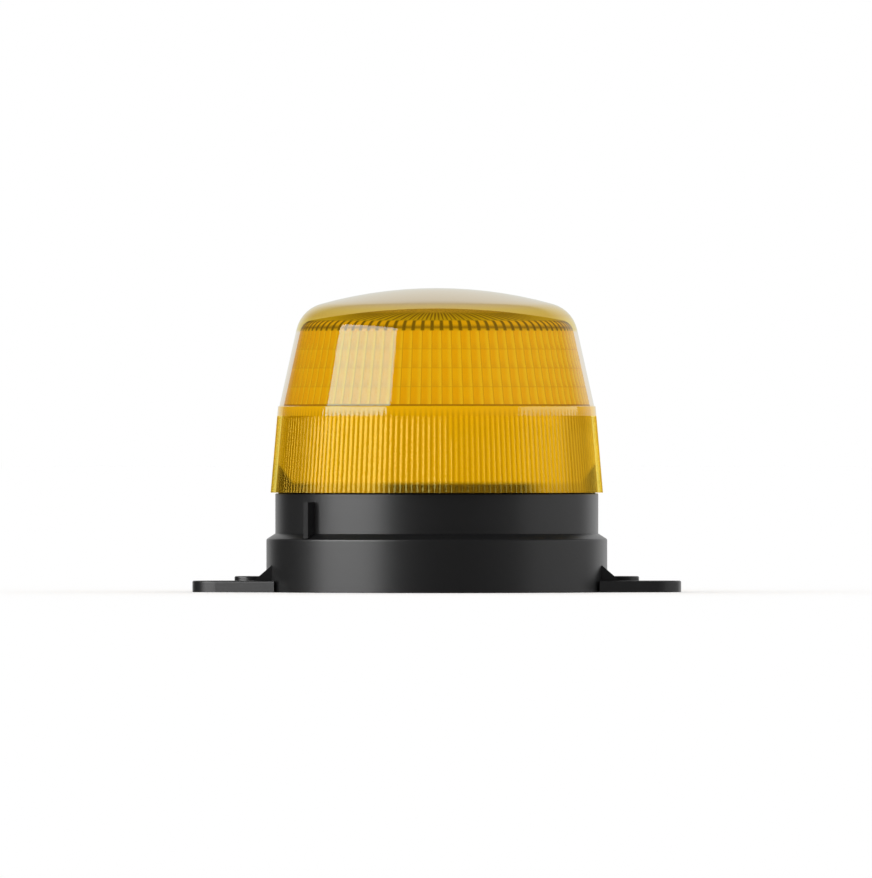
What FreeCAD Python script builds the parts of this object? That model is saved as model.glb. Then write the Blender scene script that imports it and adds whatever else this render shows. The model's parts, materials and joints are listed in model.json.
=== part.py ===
import FreeCAD, Part
import math
import os
import Sketcher

# Warning light with siren: an amber lens on a round black housing, which twists onto a base
# with two fixing ears. Millimetres. The origin is the centre of the base's underside, +Z is up,
# the ears point along +X and -X, and the front is the -Y side.

# Driving dimensions. Heights are measured from the underside, angles are in degrees and
# anticlockwise seen from above, starting at +X.
DIMENSIONS = {
    # mounting base
    "base_radius": 60.0,
    "base_wall": 2.8,
    "base_floor": 3.0,
    "base_straight": 18.6,
    "rim_rise": 2.0,
    "rim_run": 3.15,
    "base_edge_round": 0.5,
    "ring_thick": 3.2,
    "ear_length": 26.0,
    "ear_thick": 4.0,
    "ear_corner": 12.0,
    "ear_tip_flat": 5.4,
    "ear_taper": 19.0,
    "ear_round": 0.5,
    "screw_offset": 5.0,
    "screw_hole": 5.5,
    "boss_width": 12.4,
    "boss_rise": 1.6,
    "gusset_offset": 15.4,
    "gusset_thick": 2.5,
    "gusset_rise": 5.5,
    "gusset_foot": 6.4,
    "cable_hole": 14.0,
    "gasket_inset": 5.5,
    "gasket_width": 4.0,
    "gasket_thick": 1.2,
    "outlet_count": 9,
    "outlet_sweep": 44.0,
    "outlet_width": 2.2,
    "outlet_lift": 3.0,
    "outlet_drop": 4.2,
    # twist lock between base and housing
    "lug_count": 3,
    "lug_angle": 30.0,
    "lug_span": 14.0,
    "lug_room": 5.6,
    "lug_reach": 3.0,
    "lug_thick": 2.4,
    "lug_gap": 0.4,
    "open_twist": 20.0,
    "stop_span": 3.0,
    "stop_play": 0.5,
    # housing
    "housing_height": 14.1,
    "housing_wall": 2.6,
    "housing_edge_round": 0.4,
    "shoulder_thick": 3.3,
    "collar_setback": 3.95,
    "collar_wall": 2.2,
    "collar_lug_thick": 2.1,
    "catch_overlap": 2.0,
    "catch_reach": 1.7,
    "index_angle": 220.0,
    "index_width": 2.4,
    "index_drop": 3.0,
    "index_gap": 0.4,
    "post_inset": 5.0,
    "post_radius": 3.5,
    "post_web": 2.2,
    "post_count": 4,
    "post_angle": 45.0,
    "seal_width": 3.0,
    "seal_thick": 1.3,
    # lower cover and its seals
    "cover_thick": 2.5,
    "cover_lift": 0.3,
    "spigot_wall": 3.0,
    "spigot_tail": 0.6,
    "ring_play": 0.4,
    "o_ring_section": 1.9,
    "o_ring_drop": 1.4,
    "o_ring_play": 0.15,
    "groove_width": 2.3,
    "part_play": 0.1,
    # lens
    "lens_gap": 0.3,
    "lens_overhang": 1.65,
    "lens_draft": 4.9,
    "lens_wall": 2.5,
    "lens_ribs": 180,
    "rib_depth": 0.5,
    "skirt_height": 27.0,
    "plain_band": 3.4,
    "lens_step": 0.5,
    "cone_angle": 12.5,
    "shoulder_round": 12.0,
    "crown_round": 152.0,
    "dome_height": 41.6,
    "optic_columns": 90,
    "optic_rows": 4,
    "optic_depth": 0.6,
    "lens_lug_count": 4,
    "lens_lug_angle": 20.0,
    "lens_lug_span": 16.0,
    "lens_lug_thick": 1.3,
    "lens_twist": 24.0,
    # cable entry
    "cable_bore": 6.6,
    "grommet_lip": 2.4,
    "grommet_lip_thick": 1.6,
    "grommet_height": 5.0,
    "grommet_nose": 1.8,
    "grommet_lift": 0.2,
    "gland_inset": 8.0,
    "gland_thread": 4.0,
    "gland_hex": 5.4,
    "gland_flange": 3.0,
    "gland_tail": 4.0,
    "gland_nut": 2.6,
    "gland_proud": 1.0,
    "gland_nose": 1.6,
    "gland_slant": 1.4,
    # siren
    "siren_room": 2.2,
    "flange_thick": 2.0,
    "flange_land": 4.0,
    "siren_gasket_thick": 0.8,
    "bore_inset": 6.6,
    "cup_wall": 2.2,
    "cup_height": 5.9,
    "ledge_width": 1.8,
    "ledge_rise": 2.4,
    "grille_thick": 1.6,
    "grille_slots": 16,
    "grille_slot_width": 2.0,
    "grille_hub": 7.5,
    "pole_radius": 7.3,
    "coil_wall": 0.8,
    "coil_gap": 0.4,
    "plate_thick": 2.0,
    "magnet_thick": 5.0,
    "magnet_inset": 0.4,
    "magnet_gap": 2.0,
    "surround_width": 4.4,
    "surround_play": 0.3,
    "diaphragm_thick": 0.4,
    "diaphragm_rise": 1.5,
    "siren_travel": 0.4,
    # screws
    "screw_count": 4,
    "screw_radius": 1.25,
    "screw_head": 2.6,
    "screw_head_thick": 1.6,
    "screw_grip": 6.0,
    "screw_tip_gap": 0.3,
    "thread_play": 0.08,
    # boards
    "board_gap": 1.2,
    "board_drop": 2.0,
    "board_thick": 1.6,
    "tower_flat": 34.0,
    "tower_bore": 9.0,
    "tower_room": 19.0,
    "tower_screw_angle": 30.0,
    "tower_screw_count": 3,
    "strip_width": 14.0,
    "strip_thick": 1.2,
    "strip_lift": 1.5,
    "strip_drop": 1.0,
    "led_size": 5.0,
    "led_thick": 1.4,
    "led_rows": 4,
    "led_pitch": 11.0,
    "led_lift": 7.0,
    "top_led_ring": 8.0,
    # parts of the main board
    "parts_inset": 16.5,
    "capacitor_radius": 4.0,
    "capacitor_height": 11.5,
    "capacitor_crimp": 0.6,
    "capacitor_gap": 2.0,
    "capacitor_count": 3,
    "transformer_width": 12.0,
    "transformer_height": 9.0,
    "bobbin_flange": 1.5,
    "chip_length": 10.0,
    "chip_width": 6.0,
    "chip_height": 1.7,
    "chip_angle": 306.0,
    "connector_length": 9.0,
    "connector_width": 5.0,
    "connector_height": 6.0,
    "connector_angle": 234.0,
    "small_part_count": 5,
    "small_part_inset": 7.3,
    "small_part_angle": 110.0,
    "small_part_step": 14.0,
    "small_part_length": 3.2,
    "small_part_width": 1.8,
    "small_part_height": 1.2,
    "terminal_pitch": 5.0,
    "terminal_count": 4,
    "terminal_depth": 9.0,
    "terminal_height": 10.0,
    "terminal_well": 1.8,
    "terminal_screw_depth": 5.0,
    "terminal_mouth_width": 3.0,
    "terminal_mouth_height": 2.8,
    "terminal_mouth_lift": 1.0,
    "control_offset": 9.9,
    "switch_pitch": 2.54,
    "switch_count": 4,
    "switch_depth": 9.0,
    "switch_height": 3.4,
    "slider_size": 1.1,
    "slider_travel": 1.8,
    "slider_play": 0.2,
    "slider_proud": 0.7,
    "trimmer_width": 9.5,
    "trimmer_height": 4.6,
    "rotor_radius": 2.6,
    "rotor_depth": 1.8,
    "rotor_proud": 0.6,
    "rotor_play": 0.2,
    "driver_slot_depth": 0.9,
    "driver_slot_width": 0.7,
    "driver_slot_length": 4.4,
}

# How far a cut runs past the face that it opens, and how deep a rib or a lug is rooted in the
# wall that carries it.
PAST = 1.0
ROOTED = 0.5
# Two lengths closer than this are the same.
SAME = 0.01
# Share of a screw head's radius and height at which its rounded edge starts.
HEAD_EDGE = 0.6

OUT = "parts"
doc = FreeCAD.newDocument("warning_light")
parts = []


class Size:
    """A number together with the sheet expression that it comes from."""

    def __init__(self, value, text):
        self.value = float(value)
        self.text = text

    def __add__(self, other):
        return Size(self.value + number(other), "(%s + %s)" % (self.text, wording(other)))

    def __radd__(self, other):
        return Size(number(other) + self.value, "(%s + %s)" % (wording(other), self.text))

    def __sub__(self, other):
        return Size(self.value - number(other), "(%s - %s)" % (self.text, wording(other)))

    def __rsub__(self, other):
        return Size(number(other) - self.value, "(%s - %s)" % (wording(other), self.text))

    def __mul__(self, other):
        return Size(self.value * number(other), "(%s * %s)" % (self.text, wording(other)))

    def __rmul__(self, other):
        return Size(number(other) * self.value, "(%s * %s)" % (wording(other), self.text))

    def __truediv__(self, other):
        return Size(self.value / number(other), "(%s / %s)" % (self.text, wording(other)))


def number(term):
    return term.value if isinstance(term, Size) else float(term)


def wording(term):
    return term.text if isinstance(term, Size) else repr(float(term))


def sine(angle):
    return Size(math.sin(math.radians(number(angle))), "sin(%s)" % wording(angle))


def cosine(angle):
    return Size(math.cos(math.radians(number(angle))), "cos(%s)" % wording(angle))


def tangent(angle):
    return Size(math.tan(math.radians(number(angle))), "tan(%s)" % wording(angle))


def root(term):
    return Size(math.sqrt(number(term)), "sqrt(%s)" % wording(term))


class Sheet:
    """The driving dimensions as sizes, each kept in a cell of the document's sheet."""

    def __init__(self, dimensions):
        cells = doc.addObject("Spreadsheet::Sheet", "sizes")
        for row, (name, value) in enumerate(dimensions.items(), start=1):
            cell = "A%d" % row
            cells.set(cell, str(value))
            cells.setAlias(cell, name)
            setattr(self, name, Size(value, "sizes." + name))
        doc.recompute()


d = Sheet(DIMENSIONS)


# Helpers for sketches and features

def bind(item, path, term):
    item.setExpression(path, wording(term))


def new_body(label):
    body = doc.addObject("PartDesign::Body", label)
    body.Label = label
    return body


def keep(item, label):
    """Marks a document object as a finished sub-part, which is written to a file of that name."""
    item.Label = label
    parts.append(item)
    return item


def origin_of(body, role):
    return next(f for f in body.Origin.OriginFeatures if f.Role == role)


def level_sketch(body, name, height=0.0):
    """A sketch on a level plane."""
    sketch = body.newObject("Sketcher::SketchObject", name)
    sketch.AttachmentSupport = (origin_of(body, "XY_Plane"), [""])
    sketch.MapMode = "FlatFace"
    sketch.AttachmentOffset = FreeCAD.Placement(
        FreeCAD.Vector(0, 0, number(height)), FreeCAD.Rotation()
    )
    bind(sketch, "AttachmentOffset.Base.z", height)
    return sketch


def upright_sketch(body, name, turn=0.0, x=0.0, y=0.0):
    """An upright sketch whose second axis is Z, turned about Z, with its axis at x, y."""
    sketch = body.newObject("Sketcher::SketchObject", name)
    sketch.AttachmentSupport = (origin_of(body, "XZ_Plane"), [""])
    sketch.MapMode = "FlatFace"
    sketch.AttachmentOffset = FreeCAD.Placement(
        FreeCAD.Vector(number(x), 0, -number(y)),
        FreeCAD.Rotation(FreeCAD.Vector(0, 1, 0), number(turn)),
    )
    if number(turn):
        bind(sketch, "AttachmentOffset.Rotation.Angle", turn)
    bind(sketch, "AttachmentOffset.Base.x", x)
    bind(sketch, "AttachmentOffset.Base.z", 0.0 - y if isinstance(y, Size) else -y)
    return sketch


def pin(sketch, item, point, x, y):
    """Holds one point of a sketch at x, y, tied to the sheet."""
    for kind, term, axis in (("DistanceX", x, -2), ("DistanceY", y, -1)):
        if abs(number(term)) < 1e-9:
            sketch.addConstraint(Sketcher.Constraint("PointOnObject", item, point, axis))
            continue
        index = sketch.addConstraint(
            Sketcher.Constraint(kind, -1, 1, item, point, number(term))
        )
        bind(sketch, "Constraints[%d]" % index, term)


def arc_between(start, end, radius, turning):
    """The short arc from start to end, and which of its points lie at its start and end."""
    half = (end - start) / 2
    rise = math.sqrt(radius ** 2 - half.Length ** 2)
    side = FreeCAD.Vector(-half.y, half.x, 0).normalize() * turning
    centre = start + half + side * rise
    first = math.atan2(start.y - centre.y, start.x - centre.x)
    last = math.atan2(end.y - centre.y, end.x - centre.x)
    circle = Part.Circle(centre, FreeCAD.Vector(0, 0, 1), radius)
    if turning > 0:
        return Part.ArcOfCircle(circle, first, last), 1, 2
    return Part.ArcOfCircle(circle, last, first), 2, 1


def draw(sketch, corners):
    """Draws a closed outline. A corner is (x, y), or (x, y, radius, turning) where an arc ends
    that turns left, +1, or right, -1."""
    spots = [FreeCAD.Vector(number(c[0]), number(c[1]), 0) for c in corners]
    edges = []
    for index, corner in enumerate(corners):
        start, end = spots[index - 1], spots[index]
        if len(corner) == 2:
            item = sketch.addGeometry(Part.LineSegment(start, end))
            edges.append((item, 1, 2))
            continue
        arc, first, last = arc_between(start, end, number(corner[2]), corner[3])
        edges.append((sketch.addGeometry(arc), first, last))
    for index, (item, first, last) in enumerate(edges):
        before = edges[index - 1]
        sketch.addConstraint(
            Sketcher.Constraint("Coincident", before[0], before[2], item, first)
        )
    for (item, first, last), corner in zip(edges, corners):
        pin(sketch, item, last, corner[0], corner[1])
        if len(corner) == 4:
            index = sketch.addConstraint(
                Sketcher.Constraint("Radius", item, number(corner[2]))
            )
            bind(sketch, "Constraints[%d]" % index, corner[2])
    return sketch


def draw_circle(sketch, x, y, radius):
    middle = FreeCAD.Vector(number(x), number(y), 0)
    item = sketch.addGeometry(
        Part.Circle(middle, FreeCAD.Vector(0, 0, 1), number(radius))
    )
    index = sketch.addConstraint(Sketcher.Constraint("Radius", item, number(radius)))
    bind(sketch, "Constraints[%d]" % index, radius)
    pin(sketch, item, 3, x, y)
    return sketch


def turned(body, name, corners, cut=False, sweep=360.0, start=0.0, x=0.0, y=0.0):
    """Turns a radius and height outline about Z, or about an upright axis at x, y."""
    sketch = draw(upright_sketch(body, name + "_outline", start, x, y), corners)
    return spun(body, name, sketch, cut, sweep)


def spun(body, name, sketch, cut=False, sweep=360.0):
    kind = "PartDesign::Groove" if cut else "PartDesign::Revolution"
    feature = body.newObject(kind, name)
    feature.Profile = sketch
    feature.ReferenceAxis = (sketch, ["V_Axis"])
    bind(feature, "Angle", sweep)
    return feature


def band(body, name, inner, outer, bottom, top, **settings):
    """A ring of rectangular section."""
    corners = [(inner, bottom), (outer, bottom), (outer, top), (inner, top)]
    return turned(body, name, corners, **settings)


def raised(body, name, sketch, height):
    """Adds a sketch's shape, upwards."""
    feature = body.newObject("PartDesign::Pad", name)
    feature.Profile = sketch
    bind(feature, "Length", height)
    return feature


def sunk(body, name, sketch, height):
    """Cuts a sketch's shape away, upwards from the sketch."""
    feature = body.newObject("PartDesign::Pocket", name)
    feature.Profile = sketch
    feature.Reversed = True
    bind(feature, "Length", height)
    return feature


def plate(body, name, sketch, thickness, cut=False):
    """Adds or cuts a plate of even thickness, centred on its sketch."""
    kind = "PartDesign::Pocket" if cut else "PartDesign::Pad"
    feature = body.newObject(kind, name)
    feature.Profile = sketch
    feature.SideType = "Symmetric"
    bind(feature, "Length", thickness)
    return feature


def around(body, name, features, count, sweep=360.0):
    """Repeats features evenly about Z."""
    pattern = body.newObject("PartDesign::PolarPattern", name)
    pattern.Originals = features
    pattern.Axis = (origin_of(body, "Z_Axis"), [""])
    bind(pattern, "Angle", sweep)
    bind(pattern, "Occurrences", count)
    body.Tip = pattern
    return pattern


def on_ring(ring, angle):
    return ring * cosine(angle), ring * sine(angle)


def rounds(body, name, ring, angle, count, radius, bottom, height, cut=False):
    """Round posts on a circle about Z, or the holes for them."""
    x, y = on_ring(ring, angle)
    sketch = draw_circle(level_sketch(body, name + "_circle", bottom), x, y, radius)
    make = sunk if cut else raised
    first = make(body, name, sketch, height)
    return around(body, name + "_pattern", [first], count)


def rounded(body, name, radius, chosen):
    """Rounds the edges whose middle is chosen."""
    base = body.Tip
    doc.recompute()
    edges = []
    for index, edge in enumerate(base.Shape.Edges, start=1):
        if chosen(edge.valueAt((edge.FirstParameter + edge.LastParameter) / 2)):
            edges.append("Edge%d" % index)
    fillet = body.newObject("PartDesign::Fillet", name)
    fillet.Base = (base, edges)
    bind(fillet, "Radius", radius)
    return fillet


def rectangle(x, y, length, width):
    """Corners of a level rectangle round x, y."""
    return [
        (x - length / 2, y - width / 2),
        (x + length / 2, y - width / 2),
        (x + length / 2, y + width / 2),
        (x - length / 2, y + width / 2),
    ]


def block(body, name, x, y, length, width, bottom, height):
    sketch = draw(level_sketch(body, name + "_outline", bottom), rectangle(x, y, length, width))
    return raised(body, name, sketch, height)


def screw_set(label, ring, angle, count, seat, length, head_up=True):
    """Pan-head screws on a circle, with their heads on the seat and shanks into it."""
    body = new_body(label)
    way = 1 if head_up else -1
    x, y = on_ring(ring, angle)
    corners = [
        (0, seat - way * length),
        (d.screw_radius, seat - way * length),
        (d.screw_radius, seat),
        (d.screw_head, seat),
        (d.screw_head, seat + way * d.screw_head_thick * HEAD_EDGE),
        (d.screw_head * HEAD_EDGE, seat + way * d.screw_head_thick),
        (0, seat + way * d.screw_head_thick),
    ]
    one = turned(body, label + "_one", corners, x=x, y=y)
    around(body, label + "_pattern", [one], count)
    return keep(body, label)


# Radii that several pieces share, from the wall of the base inwards

wall_inner = d.base_radius - d.base_wall
screw_x = d.base_radius + d.screw_offset
gasket_radius = d.base_radius - d.gasket_inset - d.gasket_width / 2
spigot_radius = wall_inner - d.lug_room
spigot_inner = spigot_radius - d.spigot_wall
ring_bore = spigot_radius + d.ring_play
lug_radius = spigot_radius + d.lug_reach
housing_radius = d.base_radius - d.rim_run
housing_bore = housing_radius - d.housing_wall
collar_radius = housing_radius - d.collar_setback
collar_bore = collar_radius - d.collar_wall
seal_outer = collar_radius + d.seal_width
lens_radius = housing_radius + d.lens_overhang
skirt_inner = lens_radius - d.rib_depth - d.lens_wall
board_radius = collar_bore - d.board_gap
post_ring = board_radius - d.post_inset
parts_ring = board_radius - d.parts_inset
screw_hole_radius = d.screw_radius + d.thread_play
gland_ring = spigot_inner - d.gland_inset
siren_flange = gland_ring - d.gland_hex - d.siren_room
siren_screw_ring = siren_flange - d.flange_land
siren_bore = siren_screw_ring - d.bore_inset
cup_outer = siren_bore + d.cup_wall
magnet_radius = siren_bore - d.magnet_inset
diaphragm_radius = siren_bore - d.surround_width
coil_inner = d.pole_radius + d.coil_gap
coil_outer = coil_inner + d.coil_wall
tower_screw_ring = (d.tower_flat / 2 + d.tower_bore) / 2

# Heights that several pieces share, from the floor of the base upwards

base_height = d.base_straight + d.rim_rise
ring_bottom = base_height - d.ring_thick
lug_top = ring_bottom - d.lug_gap
lug_bottom = lug_top - d.lug_thick
spigot_bottom = lug_bottom - d.spigot_tail
o_ring_height = base_height - d.o_ring_drop
cover_bottom = base_height + d.cover_lift
cover_top = cover_bottom + d.cover_thick
siren_seat = cover_bottom - d.siren_gasket_thick
flange_bottom = siren_seat - d.flange_thick
grille_bottom = flange_bottom - d.grille_thick
diaphragm_bottom = flange_bottom + d.ledge_rise
cup_top = flange_bottom + d.cup_height
magnet_bottom = cup_top + d.plate_thick
yoke_bottom = magnet_bottom + d.magnet_thick
shoulder_height = base_height + d.housing_height
seal_bottom = shoulder_height - d.seal_thick + d.lens_gap
lens_bottom = shoulder_height + d.lens_gap
lens_lug_bottom = lens_bottom + d.lens_gap
lens_lug_top = lens_lug_bottom + d.lens_lug_thick
catch_bottom = lens_lug_top + d.lens_gap
collar_height = catch_bottom + d.collar_lug_thick
board_height = collar_height - d.board_drop
board_top = board_height + d.board_thick
rib_top = lens_bottom + d.skirt_height
plain_top = rib_top + d.plain_band
lens_height = plain_top + d.dome_height
tower_top = lens_height - d.tower_room


def make_mounting_base():
    """Low round base with a sloping rim, two ears, and the ring that the lugs turn under."""
    body = new_body("mounting_base")
    edge = d.base_edge_round
    slope_run = d.base_radius - housing_radius
    slope_rise = base_height - d.base_straight
    slope = root(slope_run * slope_run + slope_rise * slope_rise)
    turned(body, "base_solid", [
        (0, 0),
        (d.base_radius, 0),
        (d.base_radius, d.base_straight - edge),
        (
            d.base_radius - edge * slope_run / slope,
            d.base_straight + edge * slope_rise / slope,
            edge * slope / slope_run * (1 + slope_rise / slope),
            1,
        ),
        (housing_radius, base_height),
        (0, base_height),
    ])
    ear_reach = d.base_radius + d.ear_length
    tip_x = ear_reach - d.ear_corner
    tip_y = d.ear_tip_flat / 2
    edge_x = tip_x + d.ear_corner * sine(d.ear_taper)
    edge_y = tip_y + d.ear_corner * cosine(d.ear_taper)
    root_x = wall_inner
    root_y = edge_y + (edge_x - root_x) * tangent(d.ear_taper)
    ear_sketch = draw(level_sketch(body, "ear_outline"), [
        (root_x, 0 - root_y),
        (edge_x, 0 - edge_y),
        (ear_reach, 0 - tip_y, d.ear_corner, 1),
        (ear_reach, tip_y),
        (edge_x, edge_y, d.ear_corner, 1),
        (root_x, root_y),
    ])
    ear = raised(body, "ear", ear_sketch, d.ear_thick)
    boss_height = d.ear_thick + d.boss_rise
    boss_sketch = level_sketch(body, "boss_circle")
    draw_circle(boss_sketch, screw_x, 0, d.boss_width / 2)
    boss = raised(body, "boss", boss_sketch, boss_height)
    pieces = [ear, boss]
    gusset_start = root(d.base_radius * d.base_radius - d.gusset_offset * d.gusset_offset)
    gusset_height = d.ear_thick + d.gusset_rise
    for name, side in (("front_gusset", -1), ("rear_gusset", 1)):
        middle = side * (d.gusset_offset - d.gusset_thick / 2)
        sketch = draw(upright_sketch(body, name + "_outline", y=middle), [
            (gusset_start - d.base_wall / 2, d.ear_thick - ROOTED),
            (gusset_start + d.gusset_foot, d.ear_thick - ROOTED),
            (gusset_start + d.gusset_foot, d.ear_thick),
            (gusset_start, gusset_height),
            (gusset_start - d.base_wall / 2, gusset_height),
        ])
        pieces.append(plate(body, name, sketch, d.gusset_thick))
    around(body, "two_ears", pieces, 2)
    rounded(body, "ear_edges", d.ear_round, lambda spot: (
        abs(spot.z - d.ear_thick.value) < SAME
        and math.hypot(spot.x, spot.y) > d.base_radius.value + SAME
        and (abs(spot.x) > screw_x.value + d.boss_width.value / 2
             or abs(spot.y) > d.gusset_offset.value + SAME)
    ))
    rounded(body, "boss_edges", d.ear_round, lambda spot: (
        abs(spot.z - boss_height.value) < SAME and abs(spot.x) > screw_x.value
    ))
    turned(body, "inside", [
        (0, d.base_floor),
        (wall_inner, d.base_floor),
        (wall_inner, ring_bottom),
        (ring_bore, ring_bottom),
        (ring_bore, base_height + PAST),
        (0, base_height + PAST),
    ], cut=True)
    band(
        body, "gasket_groove",
        gasket_radius - d.gasket_width / 2, gasket_radius + d.gasket_width / 2,
        -PAST, d.gasket_thick, cut=True,
    )
    hole_sketch = level_sketch(body, "screw_hole_circle", -PAST)
    draw_circle(hole_sketch, screw_x, 0, d.screw_hole / 2)
    hole = sunk(body, "screw_hole", hole_sketch, boss_height + 2 * PAST)
    around(body, "screw_holes", [hole], 2)
    cable_sketch = draw_circle(level_sketch(body, "cable_circle", -PAST), 0, 0, d.cable_hole / 2)
    sunk(body, "cable_hole", cable_sketch, d.base_floor + 2 * PAST)
    notch = band(
        body, "notch", ring_bore - PAST, lug_radius + d.lug_gap, ring_bottom - PAST,
        base_height + PAST, cut=True, sweep=d.lug_span + 2 * d.stop_play,
        start=d.lug_angle + d.open_twist - d.lug_span / 2 - d.stop_play,
    )
    around(body, "notches", [notch], d.lug_count)
    stops = []
    for name, start in (
        ("closed_stop", d.lug_angle - d.lug_span / 2 - d.stop_play - d.stop_span),
        ("open_stop", d.lug_angle + d.open_twist + d.lug_span / 2 + d.stop_play),
    ):
        stops.append(band(
            body, name, ring_bore + d.ring_play, wall_inner + ROOTED, lug_bottom,
            ring_bottom + ROOTED, sweep=d.stop_span, start=start,
        ))
    around(body, "stops", stops, d.lug_count)
    outlet_bottom = d.base_floor + d.outlet_lift
    outlet_top = ring_bottom - d.outlet_drop
    outlet_sketch = draw(
        upright_sketch(body, "outlet_outline", turn=90 - d.outlet_sweep / 2), [
            (wall_inner - PAST, outlet_bottom),
            (d.base_radius + PAST, outlet_bottom),
            (d.base_radius + PAST, outlet_top),
            (wall_inner - PAST, outlet_top),
        ])
    outlet = plate(body, "outlet", outlet_sketch, d.outlet_width, cut=True)
    around(body, "outlets", [outlet], d.outlet_count, d.outlet_sweep)
    return keep(body, "mounting_base")


def make_base_gasket():
    body = new_body("base_gasket")
    half = d.gasket_width / 2 - d.part_play
    band(body, "foam", gasket_radius - half, gasket_radius + half, 0, d.gasket_thick)
    return keep(body, "base_gasket")


def make_cable_grommet():
    """Rubber grommet: its groove holds the edge of the hole in the floor."""
    body = new_body("cable_grommet")
    neck = d.cable_hole / 2 - d.part_play
    lip = neck + d.grommet_lip
    bore = d.cable_bore / 2
    turned(body, "grommet", [
        (bore, d.grommet_lift),
        (neck, d.grommet_lift),
        (neck, d.base_floor),
        (lip, d.base_floor),
        (lip, d.base_floor + d.grommet_lip_thick),
        (bore + d.grommet_nose, d.base_floor + d.grommet_height),
        (bore, d.base_floor + d.grommet_height),
    ])
    return keep(body, "cable_grommet")


def make_body_housing():
    """Round housing with the shoulder and collar that carry the lens, and the index rib."""
    body = new_body("body_housing")
    shoulder_bottom = shoulder_height - d.shoulder_thick
    turned(body, "housing_shell", [
        (housing_bore, base_height),
        (housing_radius, base_height),
        (housing_radius, shoulder_height - d.housing_edge_round),
        (
            housing_radius - d.housing_edge_round, shoulder_height,
            d.housing_edge_round, 1,
        ),
        (seal_outer, shoulder_height),
        (seal_outer, seal_bottom),
        (collar_radius, seal_bottom),
        (collar_radius, collar_height),
        (collar_bore, collar_height),
        (collar_bore, shoulder_bottom),
        (housing_bore, shoulder_bottom),
    ])
    root_radius = housing_radius - d.housing_wall / 2
    foot = d.base_straight + d.index_gap
    index_sketch = draw(upright_sketch(body, "index_outline", turn=d.index_angle), [
        (root_radius, foot + d.rim_rise),
        (housing_radius, foot + d.rim_rise),
        (d.base_radius, foot),
        (d.base_radius, shoulder_height - d.index_drop),
        (root_radius, shoulder_height - d.index_drop),
    ])
    plate(body, "index_rib", index_sketch, d.index_width)
    x, y = on_ring(post_ring, d.post_angle)
    post_sketch = draw_circle(level_sketch(body, "post_circle", cover_top), x, y, d.post_radius)
    post = raised(body, "post", post_sketch, board_height - cover_top)
    web_sketch = draw(upright_sketch(body, "web_outline", turn=d.post_angle), [
        (post_ring, cover_top),
        (housing_bore + ROOTED, cover_top),
        (housing_bore + ROOTED, shoulder_bottom + ROOTED),
        (post_ring, shoulder_bottom + ROOTED),
    ])
    web = plate(body, "post_web", web_sketch, d.post_web)
    around(body, "posts", [post, web], d.post_count)
    rounds(
        body, "post_bore", post_ring, d.post_angle, d.post_count, screw_hole_radius,
        cover_top - PAST, board_height - cover_top + 2 * PAST, cut=True,
    )
    collar_lug = band(
        body, "collar_lug", collar_radius - ROOTED, collar_lug_radius(), catch_bottom,
        collar_height, sweep=d.lens_lug_span + d.catch_overlap,
        start=d.lens_lug_angle - (d.lens_lug_span + d.catch_overlap) / 2,
    )
    catches = [collar_lug]
    for name, start in (
        ("lens_closed_stop", d.lens_lug_angle - d.lens_lug_span / 2 - d.stop_play - d.stop_span),
        ("lens_open_stop", d.lens_lug_angle + d.lens_twist + d.lens_lug_span / 2 + d.stop_play),
    ):
        catches.append(band(
            body, name, collar_radius - ROOTED, collar_radius + d.catch_reach, lens_bottom,
            catch_bottom, sweep=d.stop_span, start=start,
        ))
    around(body, "collar_lugs", catches, d.lens_lug_count)
    return keep(body, "body_housing")


def collar_lug_radius():
    """The collar's lugs end just inside the skirt of the lens, at the skirt's narrowest."""
    return skirt_inner - (collar_height - lens_bottom) * tangent(d.lens_draft) - d.lug_gap


def make_lens_seal():
    body = new_body("lens_seal")
    band(
        body, "seal", collar_radius + d.part_play, seal_outer - d.part_play,
        seal_bottom, lens_bottom,
    )
    return keep(body, "lens_seal")


def make_lower_cover():
    """Closes the housing from below: a disc with a spigot, bayonet lugs and an O-ring groove."""
    body = new_body("lower_cover")
    opening = cup_outer + d.lug_gap
    groove_floor = ring_bore - d.o_ring_play - d.o_ring_section
    groove_bottom = o_ring_height - d.groove_width / 2
    groove_top = o_ring_height + d.groove_width / 2
    disc_radius = housing_bore - d.part_play
    turned(body, "cover_disc", [
        (opening, cover_bottom),
        (spigot_inner, cover_bottom),
        (spigot_inner, spigot_bottom),
        (spigot_radius, spigot_bottom),
        (spigot_radius, groove_bottom),
        (groove_floor, groove_bottom),
        (groove_floor, groove_top),
        (spigot_radius, groove_top),
        (spigot_radius, cover_bottom),
        (disc_radius, cover_bottom),
        (disc_radius, cover_top),
        (opening, cover_top),
    ])
    lug = band(
        body, "lug", spigot_radius - ROOTED, lug_radius, lug_bottom, lug_top,
        sweep=d.lug_span, start=d.lug_angle - d.lug_span / 2,
    )
    around(body, "lugs", [lug], d.lug_count)
    rounds(
        body, "cover_hole", post_ring, d.post_angle, d.post_count, screw_hole_radius,
        cover_bottom - PAST, d.cover_thick + 2 * PAST, cut=True,
    )
    rounds(
        body, "siren_screw_hole", siren_screw_ring, 0.0, d.screw_count, screw_hole_radius,
        cover_bottom - PAST, d.cover_thick + 2 * PAST, cut=True,
    )
    gland_sketch = level_sketch(body, "gland_circle", cover_bottom - PAST)
    draw_circle(gland_sketch, 0 - gland_ring, 0, d.gland_thread + d.part_play)
    sunk(body, "gland_hole", gland_sketch, d.cover_thick + 2 * PAST)
    return keep(body, "lower_cover")


def make_housing_o_ring():
    body = new_body("housing_o_ring")
    middle = ring_bore - d.o_ring_play - d.o_ring_section / 2
    sketch = upright_sketch(body, "section")
    draw_circle(sketch, middle, o_ring_height, d.o_ring_section / 2)
    spun(body, "o_ring", sketch)
    return keep(body, "housing_o_ring")


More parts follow.
